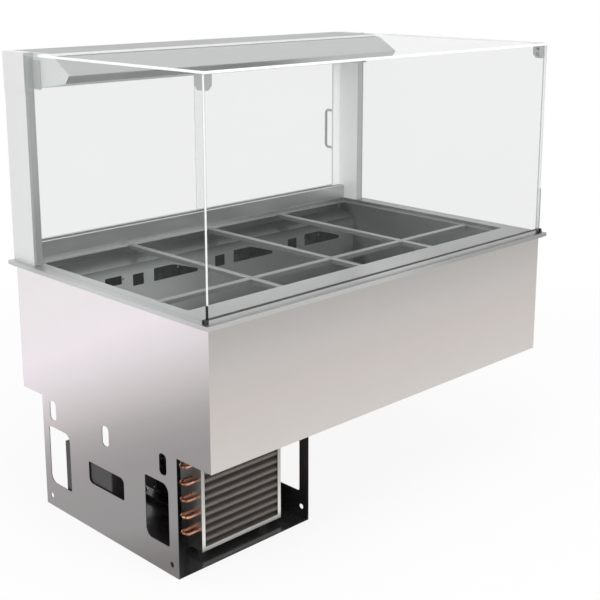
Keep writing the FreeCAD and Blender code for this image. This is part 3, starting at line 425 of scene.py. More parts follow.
@dataclass(frozen=True)
class DrawnCopper:
    """Drawn copper tube, brighter and darker by patches of oxide."""

    name: str
    bright: Triple = (0.86, 0.44, 0.30)
    dull: Triple = (0.40, 0.15, 0.09)
    roughness: float = 0.24

    def material(self) -> Material:
        """Oxide is broad noise; fine scratches lie in every direction."""
        graph = Graph(self.name, self.roughness, 1.0)
        oxide = graph.noise((26.0, 26.0, 26.0), 5.0, 0.6)
        scratch = graph.noise((700.0, 700.0, 700.0), 2.0, 0.5)
        graph.rough(graph.span(oxide, 0.20, 0.42))
        graph.relief(scratch, 0.00003, 0.4)
        return graph.paint(graph.ramp(oxide, [(0.30, self.bright), (0.72, self.dull)]))


@dataclass(frozen=True)
class FinStock:
    """Aluminium fins: a painted highlight along the crests of the wave, painted shade further in, and
    patches of dust.
    """

    name: str
    front: float
    depth: float = 0.009
    # Painted highlight at the front edge, painted shade far back between the fins; the darkest colour also
    # tints the dust.
    crest_highlight: Triple = (0.95, 0.91, 0.87)
    flank: Triple = (0.62, 0.565, 0.53)
    deep_shade_and_dust: Triple = (0.12, 0.10, 0.086)

    def material(self) -> Material:
        """The tone falls off with the distance behind the front edge, in metres, from painted highlight to
        painted shade.
        """
        graph = Graph(self.name, 0.42, 0.5)
        dust = graph.noise((160.0, 160.0, 160.0), 4.0, 0.6)
        tone = graph.tones((0.0, 1.0, 0.0), (
            (self.front, self.crest_highlight), (self.front + 0.22 * self.depth, self.flank),
            (self.front + 0.55 * self.depth, scaled(self.deep_shade_and_dust, 1.9)), (self.front + self.depth, self.deep_shade_and_dust)))
        graph.rough(graph.span(dust, 0.34, 0.56))
        graph.relief(dust, 0.00008, 0.5)
        return graph.paint(graph.tint(graph.span(dust, 0.0, 0.22), tone, scaled(self.deep_shade_and_dust, 1.2)))


@dataclass(frozen=True)
class FinnedBlock:
    """Block of packed fins, drawn as fine plates across one axis."""

    name: str
    across: Axis
    pitch: float = 0.003
    colour: Triple = (0.50, 0.50, 0.49)

    def material(self) -> Material:
        """Plates are a saw wave across the axis, as relief and as dark gaps of painted shade."""
        graph = Graph(self.name, 0.45, 0.8)
        wave = graph.add("ShaderNodeTexWave")
        wave.bands_direction = self.across.name
        wave.inputs["Scale"].default_value = 0.314 / self.pitch
        wave.inputs["Distortion"].default_value = 0.4
        graph.join(graph.coords.outputs["Object"], wave.inputs["Vector"])
        graph.relief(wave.outputs["Fac"], 0.0006, 0.8)
        # The ramp's dark end is painted shade between the plates.
        return graph.paint(graph.ramp(wave.outputs["Fac"], [(0.15, scaled(self.colour, 0.15)),
                                                            (0.65, self.colour)]))


@dataclass(frozen=True)
class PaneGlass:
    """Float glass pane: clear through its faces, with a painted highlight along its polished edges.

    The edges that look along plain_way have their own painted colour and strength.
    """

    name: str
    thin: Axis
    face_shade: Triple = (0.20, 0.22, 0.22)
    face_alpha: float = 0.052
    edge_painted_light: Triple = (0.95, 0.97, 0.96)
    edge_alpha: float = 0.90
    plain_way: Triple = (0.0, 0.0, 1.0)
    plain_shade: Triple = (0.20, 0.22, 0.22)
    plain_alpha: float = 0.052

    def material(self) -> Material:
        """Faces are told from edges by the normal; faint wipe marks vary the veil on the faces."""
        graph = Graph(self.name, 0.06)
        face = graph.facing(self.thin, 0.9)
        plain = graph.looking(self.plain_way, 0.6)
        haze = graph.noise((3.0, 3.0, 1.4), 3.0, 0.5)
        veil = graph.ramp(haze, [(0.3, self.face_shade), (0.7, scaled(self.face_shade, 1.25))])
        edge_alpha = graph.span(plain, self.edge_alpha, self.plain_alpha, 0.0, 1.0)
        clear = graph.sums("MULTIPLY", face, self.face_alpha)
        solid = graph.sums("MULTIPLY", graph.span(face, 1.0, 0.0, 0.0, 1.0), edge_alpha)
        graph.join(graph.sums("ADD", clear, solid), graph.shader.inputs["Alpha"])
        graph.rough(graph.span(face, 0.22, 0.03, 0.0, 1.0))
        graph.material.surface_render_method = "BLENDED"
        # Painted edge colours: a painted highlight, and the plain edges' own painted colour.
        edge = graph.tint(plain, self.edge_painted_light, self.plain_shade)
        return graph.paint(graph.tint(face, edge, veil))


@dataclass(frozen=True)
class RigidFoam:
    """Cut rigid foam with open cells."""

    name: str
    colour: Triple = (0.72, 0.62, 0.38)

    def material(self) -> Material:
        """Cells are a cell texture as relief and shade."""
        graph = Graph(self.name, 0.9)
        cells = graph.add("ShaderNodeTexVoronoi")
        cells.inputs["Scale"].default_value = 380.0
        graph.join(graph.coords.outputs["Object"], cells.inputs["Vector"])
        graph.relief(cells.outputs["Distance"], 0.0004, 0.8)
        return graph.paint(graph.ramp(cells.outputs["Distance"], [(0.0, scaled(self.colour, 0.7)),
                                                                  (0.6, self.colour)]))


@dataclass(frozen=True)
class OpalTube:
    """Lamp glass or opal cover; the glow is a faint emission."""

    name: str
    colour: Triple = (0.92, 0.93, 0.91)
    glow: float = 0.0

    def material(self) -> Material:
        """A fine frosting varies the shade."""
        graph = Graph(self.name, 0.35)
        frost = graph.noise((300.0, 300.0, 300.0), 2.0, 0.5)
        graph.shader.inputs["Emission Color"].default_value = (1.0, 0.98, 0.94, 1.0)
        graph.shader.inputs["Emission Strength"].default_value = self.glow
        graph.relief(frost, 0.00002, 0.4)
        return graph.paint(graph.ramp(frost, [(0.3, scaled(self.colour, 0.95)), (0.7, self.colour)]))


@dataclass(frozen=True)
class CastBrass:
    """Machined brass with turning marks around Z."""

    name: str
    colour: Triple = (0.72, 0.53, 0.24)

    def material(self) -> Material:
        """Turning marks are noise stretched across Z."""
        graph = Graph(self.name, 0.28, 1.0)
        marks = graph.noise((30.0, 30.0, 900.0), 2.0, 0.5)
        tarnish = graph.noise((40.0, 40.0, 40.0), 4.0, 0.6)
        graph.rough(graph.span(tarnish, 0.22, 0.42))
        graph.relief(marks, 0.00003, 0.5)
        return graph.paint(graph.ramp(tarnish, [(0.3, self.colour), (0.75, scaled(self.colour, 0.6))]))


# ---------------------------------------------------------------- shapes
def grid_faces(rows: int, columns: int, wrap: bool) -> np.ndarray:
    """Quads between neighbours of a grid of rows by columns, as an array of corner numbers."""
    row = np.arange(rows - 1)[:, None]
    column = np.arange(columns if wrap else columns - 1)[None, :]
    after = (column + 1) % columns
    first = row * columns + column
    second = row * columns + after
    return np.stack([first, second, second + columns, first + columns], -1).reshape(-1, 4)


def lathe(profile: Profile | list[tuple[float, float]], centre: Triple, axis: Axis, flip: bool = False,
          segments: int = 24) -> Mesh:
    """Surface of revolution: point = centre + height * axis + radius * (cos a, sin a) across it.

    Args:
        profile: (radius, height) pairs in order, from pole to pole or round a ring's section.
        centre: where height 0 lies on the axis.
        axis: the axis of revolution.
        flip: turns the heights over, so that the piece looks the other way.
        segments: corners of each ring.

    Returns:
        Vertices and faces, with doubled points where the radius is 0.
    """
    pairs = np.array(profile, float)
    angle = np.linspace(0.0, 2 * math.pi, segments, endpoint=False)
    radius, height = pairs[:, 0:1], pairs[:, 1:2] * (-1.0 if flip else 1.0)
    u = radius * np.cos(angle)[None, :]
    v = radius * np.sin(angle)[None, :]
    along = np.broadcast_to(height, u.shape)
    points = np.stack(axis.point(along, u, v), -1).reshape(-1, 3) + np.array(centre)
    return points, grid_faces(len(profile), segments, True).tolist()


def tube(path: np.ndarray, radius: float, segments: int = 12) -> Mesh:
    """Round tube: rings of the radius across the path's direction at each of its points.

    Args:
        path: points, one per row.
        radius: the tube's radius.
        segments: corners of each ring.

    Returns:
        Vertices and faces, closed at both ends by a fan to the path's end points.
    """
    ahead = np.gradient(path, axis=0)
    ahead /= np.linalg.norm(ahead, axis=1, keepdims=True)
    side = np.cross(ahead, np.array([0.31, 0.17, 0.94]))
    side /= np.linalg.norm(side, axis=1, keepdims=True)
    above = np.cross(ahead, side)
    angle = np.linspace(0.0, 2 * math.pi, segments, endpoint=False)
    rings = (path[:, None, :] + radius * (np.cos(angle)[None, :, None] * side[:, None, :]
                                          + np.sin(angle)[None, :, None] * above[:, None, :]))
    ends = np.stack([np.broadcast_to(path[0], (segments, 3)), np.broadcast_to(path[-1], (segments, 3))])
    rings = np.concatenate([ends[:1], rings, ends[1:]])
    return rings.reshape(-1, 3), grid_faces(len(rings), segments, True).tolist()


def smooth_path(knots: list[Triple], count: int = 60) -> np.ndarray:
    """Catmull-Rom curve through the knots, as an array of points at equal steps of its parameter."""
    p = np.array([knots[0], *knots, knots[-1]], float)
    t = np.linspace(0.0, len(knots) - 1 - 1e-9, count)
    i = t.astype(int)
    f = (t - i)[:, None]
    a, b, c, d = p[i], p[i + 1], p[i + 2], p[i + 3]
    return 0.5 * (2 * b + (c - a) * f + (2 * a - 5 * b + 4 * c - d) * f**2 + (3 * b - a - 3 * c + d) * f**3)


def stacked(meshes: list[Mesh]) -> Mesh:
    """Several meshes as one, with the faces' numbers moved along."""
    points, faces, start = [], [], 0
    for vertices, quads in meshes:
        points.append(vertices)
        faces.extend((np.array(quads) + start).tolist() if len({len(q) for q in quads}) == 1
                     else [[n + start for n in q] for q in quads])
        start += len(vertices)
    return np.concatenate(points), faces


BLOCK_FACES = [[0, 1, 3, 2], [4, 6, 7, 5], [0, 4, 5, 1], [2, 3, 7, 6], [0, 2, 6, 4], [1, 5, 7, 3]]


def slab(low: Triple, high: Triple) -> Mesh:
    """Block between two corners."""
    lo, hi = np.array(low), np.array(high)
    corners = np.array([[i, j, k] for i in (0, 1) for j in (0, 1) for k in (0, 1)], float)
    return lo + corners * (hi - lo), BLOCK_FACES


def shrunk(low: Vector, high: Vector, gap: float) -> Mesh:
    """Block between two corners, drawn in by a gap on every side."""
    return slab(tuple(c + gap for c in low), tuple(c - gap for c in high))


def plates(outline: np.ndarray, starts: np.ndarray, thickness: float) -> Mesh:
    """Equal flat plates across X: the (y, z) outline at each start and at start + thickness.

    Args:
        outline: (y, z) corners in order.
        starts: x of each plate's first face.
        thickness: of each plate.

    Returns:
        Vertices and faces of all the plates.
    """
    count = len(outline)
    x = np.stack([starts, starts + thickness], 1)[:, :, None]
    flat = np.broadcast_to(outline, (len(starts), 2, count, 2))
    points = np.concatenate([np.broadcast_to(x, (len(starts), 2, count))[..., None], flat], -1)
    number = np.arange(count)
    after = (number + 1) % count
    rim = np.stack([number, after, after + count, number + count], -1)
    base = (np.arange(len(starts)) * 2 * count)[:, None, None]
    quads = (rim[None] + base).reshape(-1, 4).tolist()
    caps = np.stack([number[::-1], number + count])
    return points.reshape(-1, 3), quads + (caps[None] + base).reshape(-1, count).tolist()


def piece(name: str, mesh: Mesh, finish: Material, body: str,
          bevel: float = 0.0, smooth: bool = True) -> bpy.types.Object:
    """Makes an object of a mesh, closes it and hangs it on a body.

    Args:
        name: the piece's name.
        mesh: vertices and faces in metres, in the row frame.
        finish: its material.
        body: the CAD body that it rides on.
        bevel: width of a bevel modifier, or 0 for none.
        smooth: whether faces under 35 degrees apart shade as one.

    Returns:
        The new object.
    """
    data = bpy.data.meshes.new(name)
    data.from_pydata(mesh[0].tolist(), [], mesh[1])
    shape = bmesh.new()
    shape.from_mesh(data)
    bmesh.ops.remove_doubles(shape, verts=shape.verts, dist=1e-6)
    bmesh.ops.recalc_face_normals(shape, faces=shape.faces)
    shape.to_mesh(data)
    shape.free()
    if smooth:
        data.shade_smooth()
        data.set_sharp_from_angle(angle=math.radians(35))
    data.materials.append(finish)
    obj = bpy.data.objects.new(name, data)
    bpy.context.scene.collection.objects.link(obj)
    if bevel > 0:
        modifier = obj.modifiers.new("edges", "BEVEL")
        modifier.width, modifier.segments = bevel, 2
        modifier.limit_method, modifier.angle_limit = "ANGLE", math.radians(40)
    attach(obj, body)
    LOG.info("%s: %d vertices on %s", name, len(data.vertices), body)
    return obj


class Finish(Protocol):
    """Anything that makes a material."""

    def material(self) -> Material:
        """Makes the material."""


def dress(finish: Finish, *nodes: str) -> Material:
    """Gives CAD nodes a finish, and returns the material that it made."""
    material = finish.material()
    for node in nodes:
        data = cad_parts[node].data
        data.materials.clear()
        data.materials.append(material)
        LOG.info("%s: %s", node, material.name)
    return material


SCREW = [(0.0, 0.45), (0.30, 0.45), (0.36, 0.75), (0.48, 0.95), (0.72, 0.84), (0.92, 0.55), (1.0, 0.15),
         (1.0, 0.0), (0.0, 0.0)]
SCREW_HEIGHT = 0.62


def screws(centres: list[Triple], axis: Axis, flip: bool, radius: float) -> Mesh:
    """Pan heads with a socket, seated at their centres; the profile is scaled by the radius."""
    profile = [(r * radius, h * radius * SCREW_HEIGHT) for r, h in SCREW]
    return stacked([lathe(profile, centre, axis, flip, 18) for centre in centres])


def face_corners(low: Vector, high: Vector, inset_x: float, inset_z: float) -> list[Triple]:
    """Four points on the face of a box that looks along Y, drawn in from its corners."""
    return [(x, high.y, z) for x in (low.x + inset_x, high.x - inset_x)
            for z in (low.z + inset_z, high.z - inset_z)]


# ---------------------------------------------------------------- sub-assemblies
# Painted reflection on the steel of the left side and of the bay plates, along SIDE_WAY: grey at the foot,
# and near white under the flange.
SIDE_WAY = (0.0, 0.42, 0.908)
SIDE_PAINTED_REFLECTION = (
    (-0.75, (0.20, 0.19, 0.185)), (-0.64, (0.31, 0.30, 0.30)), (-0.47, (0.34, 0.32, 0.325)),
    (-0.42, (0.38, 0.35, 0.355)), (-0.36, (0.46, 0.435, 0.435)), (-0.32, (0.56, 0.52, 0.53)),
    (-0.27, (0.67, 0.62, 0.63)), (-0.20, (0.81, 0.75, 0.78)), (-0.11, (0.93, 0.86, 0.90)),
    (0.15, (0.90, 0.87, 0.88)))


@dataclass
class Casing:
    """Flat stainless casing below the flange, and the deck around the well."""

    # Painted reflection on the front panel: lighter towards the foot, darker up under the flange.
    front_painted_reflection: Stops = (
        (-0.38, (0.68, 0.64, 0.61)), (-0.23, (0.64, 0.59, 0.565)), (-0.13, (0.60, 0.565, 0.545)),
        (-0.02, (0.50, 0.485, 0.465)))
    # Painted reflection on the deck, varying from front to back.
    deck_painted_reflection: Stops = (
        (-0.45, (0.564, 0.564, 0.558)), (-0.30, (0.636, 0.642, 0.642)), (0.05, (0.66, 0.672, 0.672)),
        (0.30, (0.528, 0.534, 0.534)), (0.40, (0.60, 0.612, 0.606)))
    # Painted shade over the deck: darker towards the right.
    deck_painted_shade: Stops = (
        (-0.70, even(1.0)), (-0.05, even(1.0)), (0.25, even(0.72)), (0.70, even(0.64)))

    def build(self) -> None:
        """Dresses the casing's panels and the deck."""
        front = BrushedSteel("front panel steel", grain=Axis.X, tone_way=(0.0, 0.0, 1.0),
                             tones=self.front_painted_reflection)
        side = BrushedSteel("side panel steel", grain=Axis.Y, tone_way=SIDE_WAY,
                            tones=SIDE_PAINTED_REFLECTION)
        plain = BrushedSteel("rear panel steel", (0.58, 0.57, 0.57), Axis.X)
        dress(front, "casing_front")
        dress(side, "casing_left")
        dress(plain, "casing_rear", "casing_right", "casing_bottom")
        dress(BrushedSteel("deck steel", grain=Axis.X, roughness=0.36, tone_way=(0.0, 1.0, 0.0),
                           tones=self.deck_painted_reflection, painted_shade=self.deck_painted_shade), "deck_rim")


@dataclass
class Well:
    """Cold tank with its duct cover, bars, fans behind the cover, evaporator and drain."""

    screw_r: float = 0.0035
    screw_pitch: float = 0.218
    screw_drop: float = 0.060
    first_screw: float = 0.03
    last_screw: float = 0.02
    fan_screw_r: float = 0.003
    fan_screw_inset: float = 0.007
    strainer_r: float = 0.0235
    strainer_spokes: int = 6
    rod_r: float = 0.0011
    rod_half: float = 0.0012
    tank_way: Triple = (0.0, 0.90, -0.43)
    # Painted shade in the tank: darker further back and lower down, near black behind the duct cover.
    tank_painted_shade: Stops = (
        (0.31, (0.58, 0.60, 0.59)), (0.345, (0.27, 0.28, 0.275)), (0.383, (0.27, 0.28, 0.275)),
        (0.402, (0.05, 0.052, 0.05)))
    # Painted reflection on the duct cover: lighter towards the left.
    duct_painted_reflection: Stops = (
        (-0.60, (0.98, 1.0, 1.0)), (-0.30, (0.86, 0.90, 0.89)), (-0.10, (0.54, 0.56, 0.555)),
        (0.25, (0.36, 0.375, 0.37)), (0.65, (0.35, 0.36, 0.36)))
    # Painted shade on the duct cover's sloped top, in metres below its top.
    duct_painted_shade: Stops = (
        (-0.050, even(1.0)), (-0.020, (0.42, 0.43, 0.425)), (0.0, (0.40, 0.41, 0.405)))

    def build(self) -> None:
        """Dresses the tank's pieces and adds screws and the drain's strainer."""
        dress(BrushedSteel("tank steel", grain=Axis.X, roughness=0.36, tone_way=self.tank_way,
                           tones=self.tank_painted_shade), "well_tank")
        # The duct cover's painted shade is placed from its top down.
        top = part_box("duct_cover")[1].z
        painted_shade = tuple((top + below, shade) for below, shade in self.duct_painted_shade)
        dress(BrushedSteel("duct steel", grain=Axis.X, roughness=0.36, metallic=0.75,
                           tone_way=(1.0, 0.0, 0.0), tones=self.duct_painted_reflection, painted_shade_way=(0.0, 0.0, 1.0),
                           painted_shade=painted_shade), "duct_cover")
        dress(BrushedSteel("bar steel", (0.27, 0.28, 0.275), Axis.Y, 0.3, 0.3), "cross_bars")
        dress(BrushedSteel("long bar steel", (0.26, 0.27, 0.265), Axis.X, 0.3, 0.3), "long_bar")
        dress(RigidFoam("tank foam"), "tank_insulation")
        dress(FinnedBlock("evaporator fins", Axis.X), "evaporator_coil")
        blades = MouldedPlastic("fan plastic", (0.014, 0.014, 0.015))
        dress(blades, "evaporator_fan_frames", *(f"evaporator_fan_{n}" for n in (1, 2, 3)))
        brass = CastBrass("valve brass")
        dress(brass, "drain_fitting", "drain_valve")
        dress(MouldedPlastic("lever red", (0.42, 0.03, 0.025), 0.4), "drain_lever")
        low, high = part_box("duct_cover")
        zinc = BrushedSteel("screw zinc", (0.36, 0.37, 0.36), Axis.X, 0.35).material()
        z = high.z - self.screw_drop
        xs = np.arange(low.x + self.first_screw, high.x - self.last_screw, self.screw_pitch)
        piece("duct_screws", screws([(x, low.y, z) for x in xs], Axis.Y, True, self.screw_r),
              zinc, "cabinet")
        self.fan_screws(BrushedSteel("blackened screw", even(0.07), Axis.X, 0.4).material())
        self.strainer(zinc)

    def fan_screws(self, blackened: Material) -> None:
        """Four screws at the corners of each fan frame, facing the well."""
        low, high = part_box("evaporator_fan_frames")
        z = middle(low, high)[2]
        reach = (high.z - low.z) / 2 - self.fan_screw_inset
        spots = []
        for rotor in ("evaporator_fan_1", "evaporator_fan_2", "evaporator_fan_3"):
            x = middle(*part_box(rotor))[0]
            spots += [(x + i * reach, low.y, z + j * reach) for i in (-1, 1) for j in (-1, 1)]
        piece("fan_frame_screws", screws(spots, Axis.Y, True, self.fan_screw_r), blackened, "cabinet")

    def strainer(self, zinc: Material) -> None:
        """Domed strainer on the drain: rings and spokes of thin rod over the hole."""
        low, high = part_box("drain_fitting")
        x, y, _ = middle(low, high)
        z = high.z
        rings = []
        for share, up in ((1.0, 0.0012), (0.62, 0.0045), (0.26, 0.0060)):
            r = self.strainer_r * share
            rings.append(lathe([(r - self.rod_half, up), (r, up + self.rod_r), (r + self.rod_half, up),
                                (r, up - self.rod_r), (r - self.rod_half, up)], (x, y, z), Axis.Z,
                               segments=32))
        for k in range(self.strainer_spokes):
            a = math.pi * 2 * k / self.strainer_spokes
            reach = [(x + s * self.strainer_r * math.cos(a), y + s * self.strainer_r * math.sin(a), z + up)
                     for s, up in ((0.0, 0.0063), (0.35, 0.0058), (0.7, 0.0040), (1.0, 0.0012))]
            rings.append(tube(smooth_path(reach, 12), self.rod_r, 8))
        piece("drain_strainer", stacked(rings), zinc, "cabinet")


@dataclass
class MachineBay:
    """Bay under the casing: plates, condenser, fan, compressor, pipes and their small hardware."""

    fin_pitch: float = 0.003
    fin_sheet: float = 0.00035
    wave_pitch: float = 0.025
    wave_depth: float = 0.006
    wave_steps: int = 8
    plate_sheet: float = 0.002
    shroud_inset: float = 0.012
    shroud_screw_r: float = 0.0042
    cover_screw_r: float = 0.003
    foot_inset: float = 0.013
    foot_plate: float = 0.003
    nut: Profile = (
        (0.0, 0.0), (0.009, 0.0), (0.009, 0.0012), (0.0065, 0.0013), (0.0065, 0.0065), (0.0055, 0.0072),
        (0.0035, 0.0072), (0.0035, 0.011), (0.0028, 0.012), (0.0, 0.012))
    compressor_wire_r: float = 0.0035
    motor_wire_r: float = 0.003
    # Painted light on the coil frame: a painted reflection of the floor at its foot, painted shade higher up
    # under the casing.
    frame_painted_light: Stops = (
        (-0.722, (1.0, 0.99, 0.94)), (-0.706, (0.95, 0.94, 0.89)), (-0.60, (0.62, 0.62, 0.60)),
        (-0.42, (0.28, 0.28, 0.27)))

    def build(self) -> None:
        """Dresses the bay's nodes and adds fins, screws, nuts and a harness."""
        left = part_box("bay_plate_left")[0].x
        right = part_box("bay_plate_right")[1].x
        for side, outer, inner in (("left", left, left + self.plate_sheet),
                                   ("right", right, right - self.plate_sheet)):
            dress(BayPlateSteel(f"bay plate {side} steel", outer, inner, SIDE_PAINTED_REFLECTION,
                                SIDE_WAY), f"bay_plate_{side}")
        dress(Enamel("pan enamel", (0.016, 0.016, 0.017), 0.20, dust=0.04), "bay_floor_pan")
        zinc = dress(BrushedSteel("bay zinc", (0.60, 0.60, 0.57), Axis.X, 0.34), "bay_bolts")
        dress(BrushedSteel("coil frame zinc", grain=Axis.X, roughness=0.34, tone_way=(0.0, 0.0, 1.0),
                           tones=self.frame_painted_light), "condenser_frame")
        dress(BrushedSteel("shroud zinc", (0.45, 0.45, 0.44), Axis.X, 0.42), "condenser_shroud")
        dress(DrawnCopper("copper tube"), "condenser_tube", "refrigerant_pipes", "filter_drier")
        dress(MouldedPlastic("condenser fan plastic", (0.028, 0.028, 0.030)), "condenser_fan")
        dress(Enamel("motor enamel", (0.03, 0.03, 0.033), 0.32), "condenser_motor")
        dress(Enamel("compressor enamel", (0.014, 0.014, 0.015), 0.26), "compressor")
        dress(MouldedPlastic("foot rubber", (0.018, 0.018, 0.018), 0.75, 700.0),
              "compressor_feet")
        self.fins()
        self.hardware(zinc)
        self.harness()

    def fins(self) -> None:
        """Waved fins: the front edge lies depth * sin(pi * row) ** 2 behind the box's face."""
        low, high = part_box("condenser_fins")
        rows = int((high.z - low.z) / self.wave_pitch + 0.5)
        z = np.linspace(low.z, high.z, rows * self.wave_steps + 1)
        phase = (z - low.z) / self.wave_pitch
        y = low.y + self.wave_depth * np.sin(math.pi * phase) ** 2
        outline = np.concatenate([np.stack([y, z], 1), [[high.y, high.z], [high.y, low.z]]])
        starts = np.arange(low.x, high.x - self.fin_sheet, self.fin_pitch)
        finish = FinStock("condenser fin stock", low.y).material()
        obj = piece("condenser_fin_pack", plates(outline, starts, self.fin_sheet), finish, "cabinet",
                    smooth=False)
        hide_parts("condenser_fins")

    def hardware(self, zinc: Material) -> None:
        """Screws of the shroud and of the compressor's cover, and the nuts on its feet."""
        spots = face_corners(*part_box("condenser_shroud"), self.shroud_inset, self.shroud_inset)
        piece("shroud_screws", screws(spots, Axis.Y, False, self.shroud_screw_r), zinc, "cabinet")
        low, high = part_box("compressor")
        mid = (low.y + high.y) / 2
        spots = [(low.x, mid + j * 0.024, low.z + k) for j in (-1, 1) for k in (0.052, 0.112)]
        piece("terminal_cover_screws", screws(spots, Axis.X, True, self.cover_screw_r), zinc, "cabinet")
        low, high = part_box("compressor_feet")
        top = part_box("compressor")[0].z + self.foot_plate
        inset = self.foot_inset
        nuts = [lathe(self.nut, (x, y, top), Axis.Z, segments=18)
                for x in (low.x + inset, high.x - inset) for y in (low.y + inset, high.y - inset)]
        piece("compressor_foot_nuts", stacked(nuts), zinc, "cabinet")

    def harness(self) -> None:
        """Sleeved wires from the terminal cover and from the fan motor to the control box."""
        sleeve = MouldedPlastic("wire sleeve", (0.02, 0.02, 0.021), 0.55).material()
        box_low, box_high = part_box("control_box")
        low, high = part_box("compressor")
        mid = (low.y + high.y) / 2
        start = (low.x + 0.004, mid, low.z + 0.098)
        end = (box_high.x - 0.002, mid + 0.012, low.z + 0.062)
        path = smooth_path([start, (start[0] - 0.012, mid, start[2]),
                            ((start[0] + end[0]) / 2, mid + 0.006, start[2] - 0.026),
                            (end[0] + 0.012, mid + 0.012, end[2]), end], 40)
        piece("compressor_wires", tube(path, self.compressor_wire_r, 12), sleeve, "cabinet")
        low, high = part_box("condenser_motor")
        x, _, z = middle(low, high)
        wall = box_low.y + 0.020
        path = smooth_path([(x - 0.034, high.y - 0.020, z + 0.010), (x - 0.052, high.y - 0.014, z + 0.010),
                            (x - 0.085, wall - 0.004, z - 0.004),
                            (box_high.x + 0.020, wall, z - 0.010), (box_high.x - 0.002, wall, z - 0.010)],
                           40)
        piece("fan_motor_wires", tube(path, self.motor_wire_r, 12), sleeve, "cabinet")


@dataclass
class Controls:
    """Control box facing the operator: dial with its scale, rocker, gland and cover screws."""

    ticks: int = 11
    tick_r: float = 0.0215
    sweep_deg: float = 300.0
    tick_long: float = 0.0045
    tick_short: float = 0.0028
    ticks_to_long: int = 5
    tick_half: float = 0.0006
    cover_screw_r: float = 0.0036
    cover_inset_x: float = 0.010
    cover_inset_z: float = 0.012

    def build(self) -> None:
        """Dresses the controls and adds the dial's ring of ticks and the cover's screws."""
        dress(Enamel("control box enamel", (0.019, 0.016, 0.017), 0.36, dust=0.02),
              "control_box")
        black = MouldedPlastic("control plastic", (0.018, 0.018, 0.020), 0.40)
        dress(black, "switch_bezel", "control_knob", "cable_gland")
        dress(MouldedPlastic("rocker green", (0.03, 0.28, 0.08), 0.30), "switch_rocker")
        x, _, z = middle(*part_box("control_knob"))
        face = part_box("control_box")[1].y
        white = Enamel("dial marks", (0.80, 0.80, 0.78), 0.5, dust=0.0).material()
        marks = []
        for k in range(self.ticks):
            a = math.radians(-90 - self.sweep_deg / 2 + self.sweep_deg * k / (self.ticks - 1)) + math.pi
            length = self.tick_short if k % self.ticks_to_long else self.tick_long
            marks.append(self.tick(x, z, face, a, length))
        piece("dial_ticks", stacked(marks), white, "cabinet", smooth=False)
        zinc = BrushedSteel("cover screw zinc", (0.58, 0.58, 0.57), Axis.X, 0.3).material()
        spots = face_corners(*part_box("control_box"), self.cover_inset_x, self.cover_inset_z)
        piece("cover_screws", screws(spots, Axis.Y, False, self.cover_screw_r), zinc, "cabinet")

    def tick(self, x: float, z: float, face: float, angle: float, length: float) -> Mesh:
        """Thin raised mark that points at the dial's middle; eight corners turned by the angle."""
        out = np.array([math.cos(angle), 0.0, math.sin(angle)])
        side = np.array([-math.sin(angle), 0.0, math.cos(angle)])
        base = np.array([x, face, z])
        corners = np.array([base + out * r + side * s + np.array([0.0, t, 0.0])
                            for r in (self.tick_r, self.tick_r + length)
                            for s in (-self.tick_half, self.tick_half) for t in (-0.0002, 0.0003)])
        return corners, BLOCK_FACES


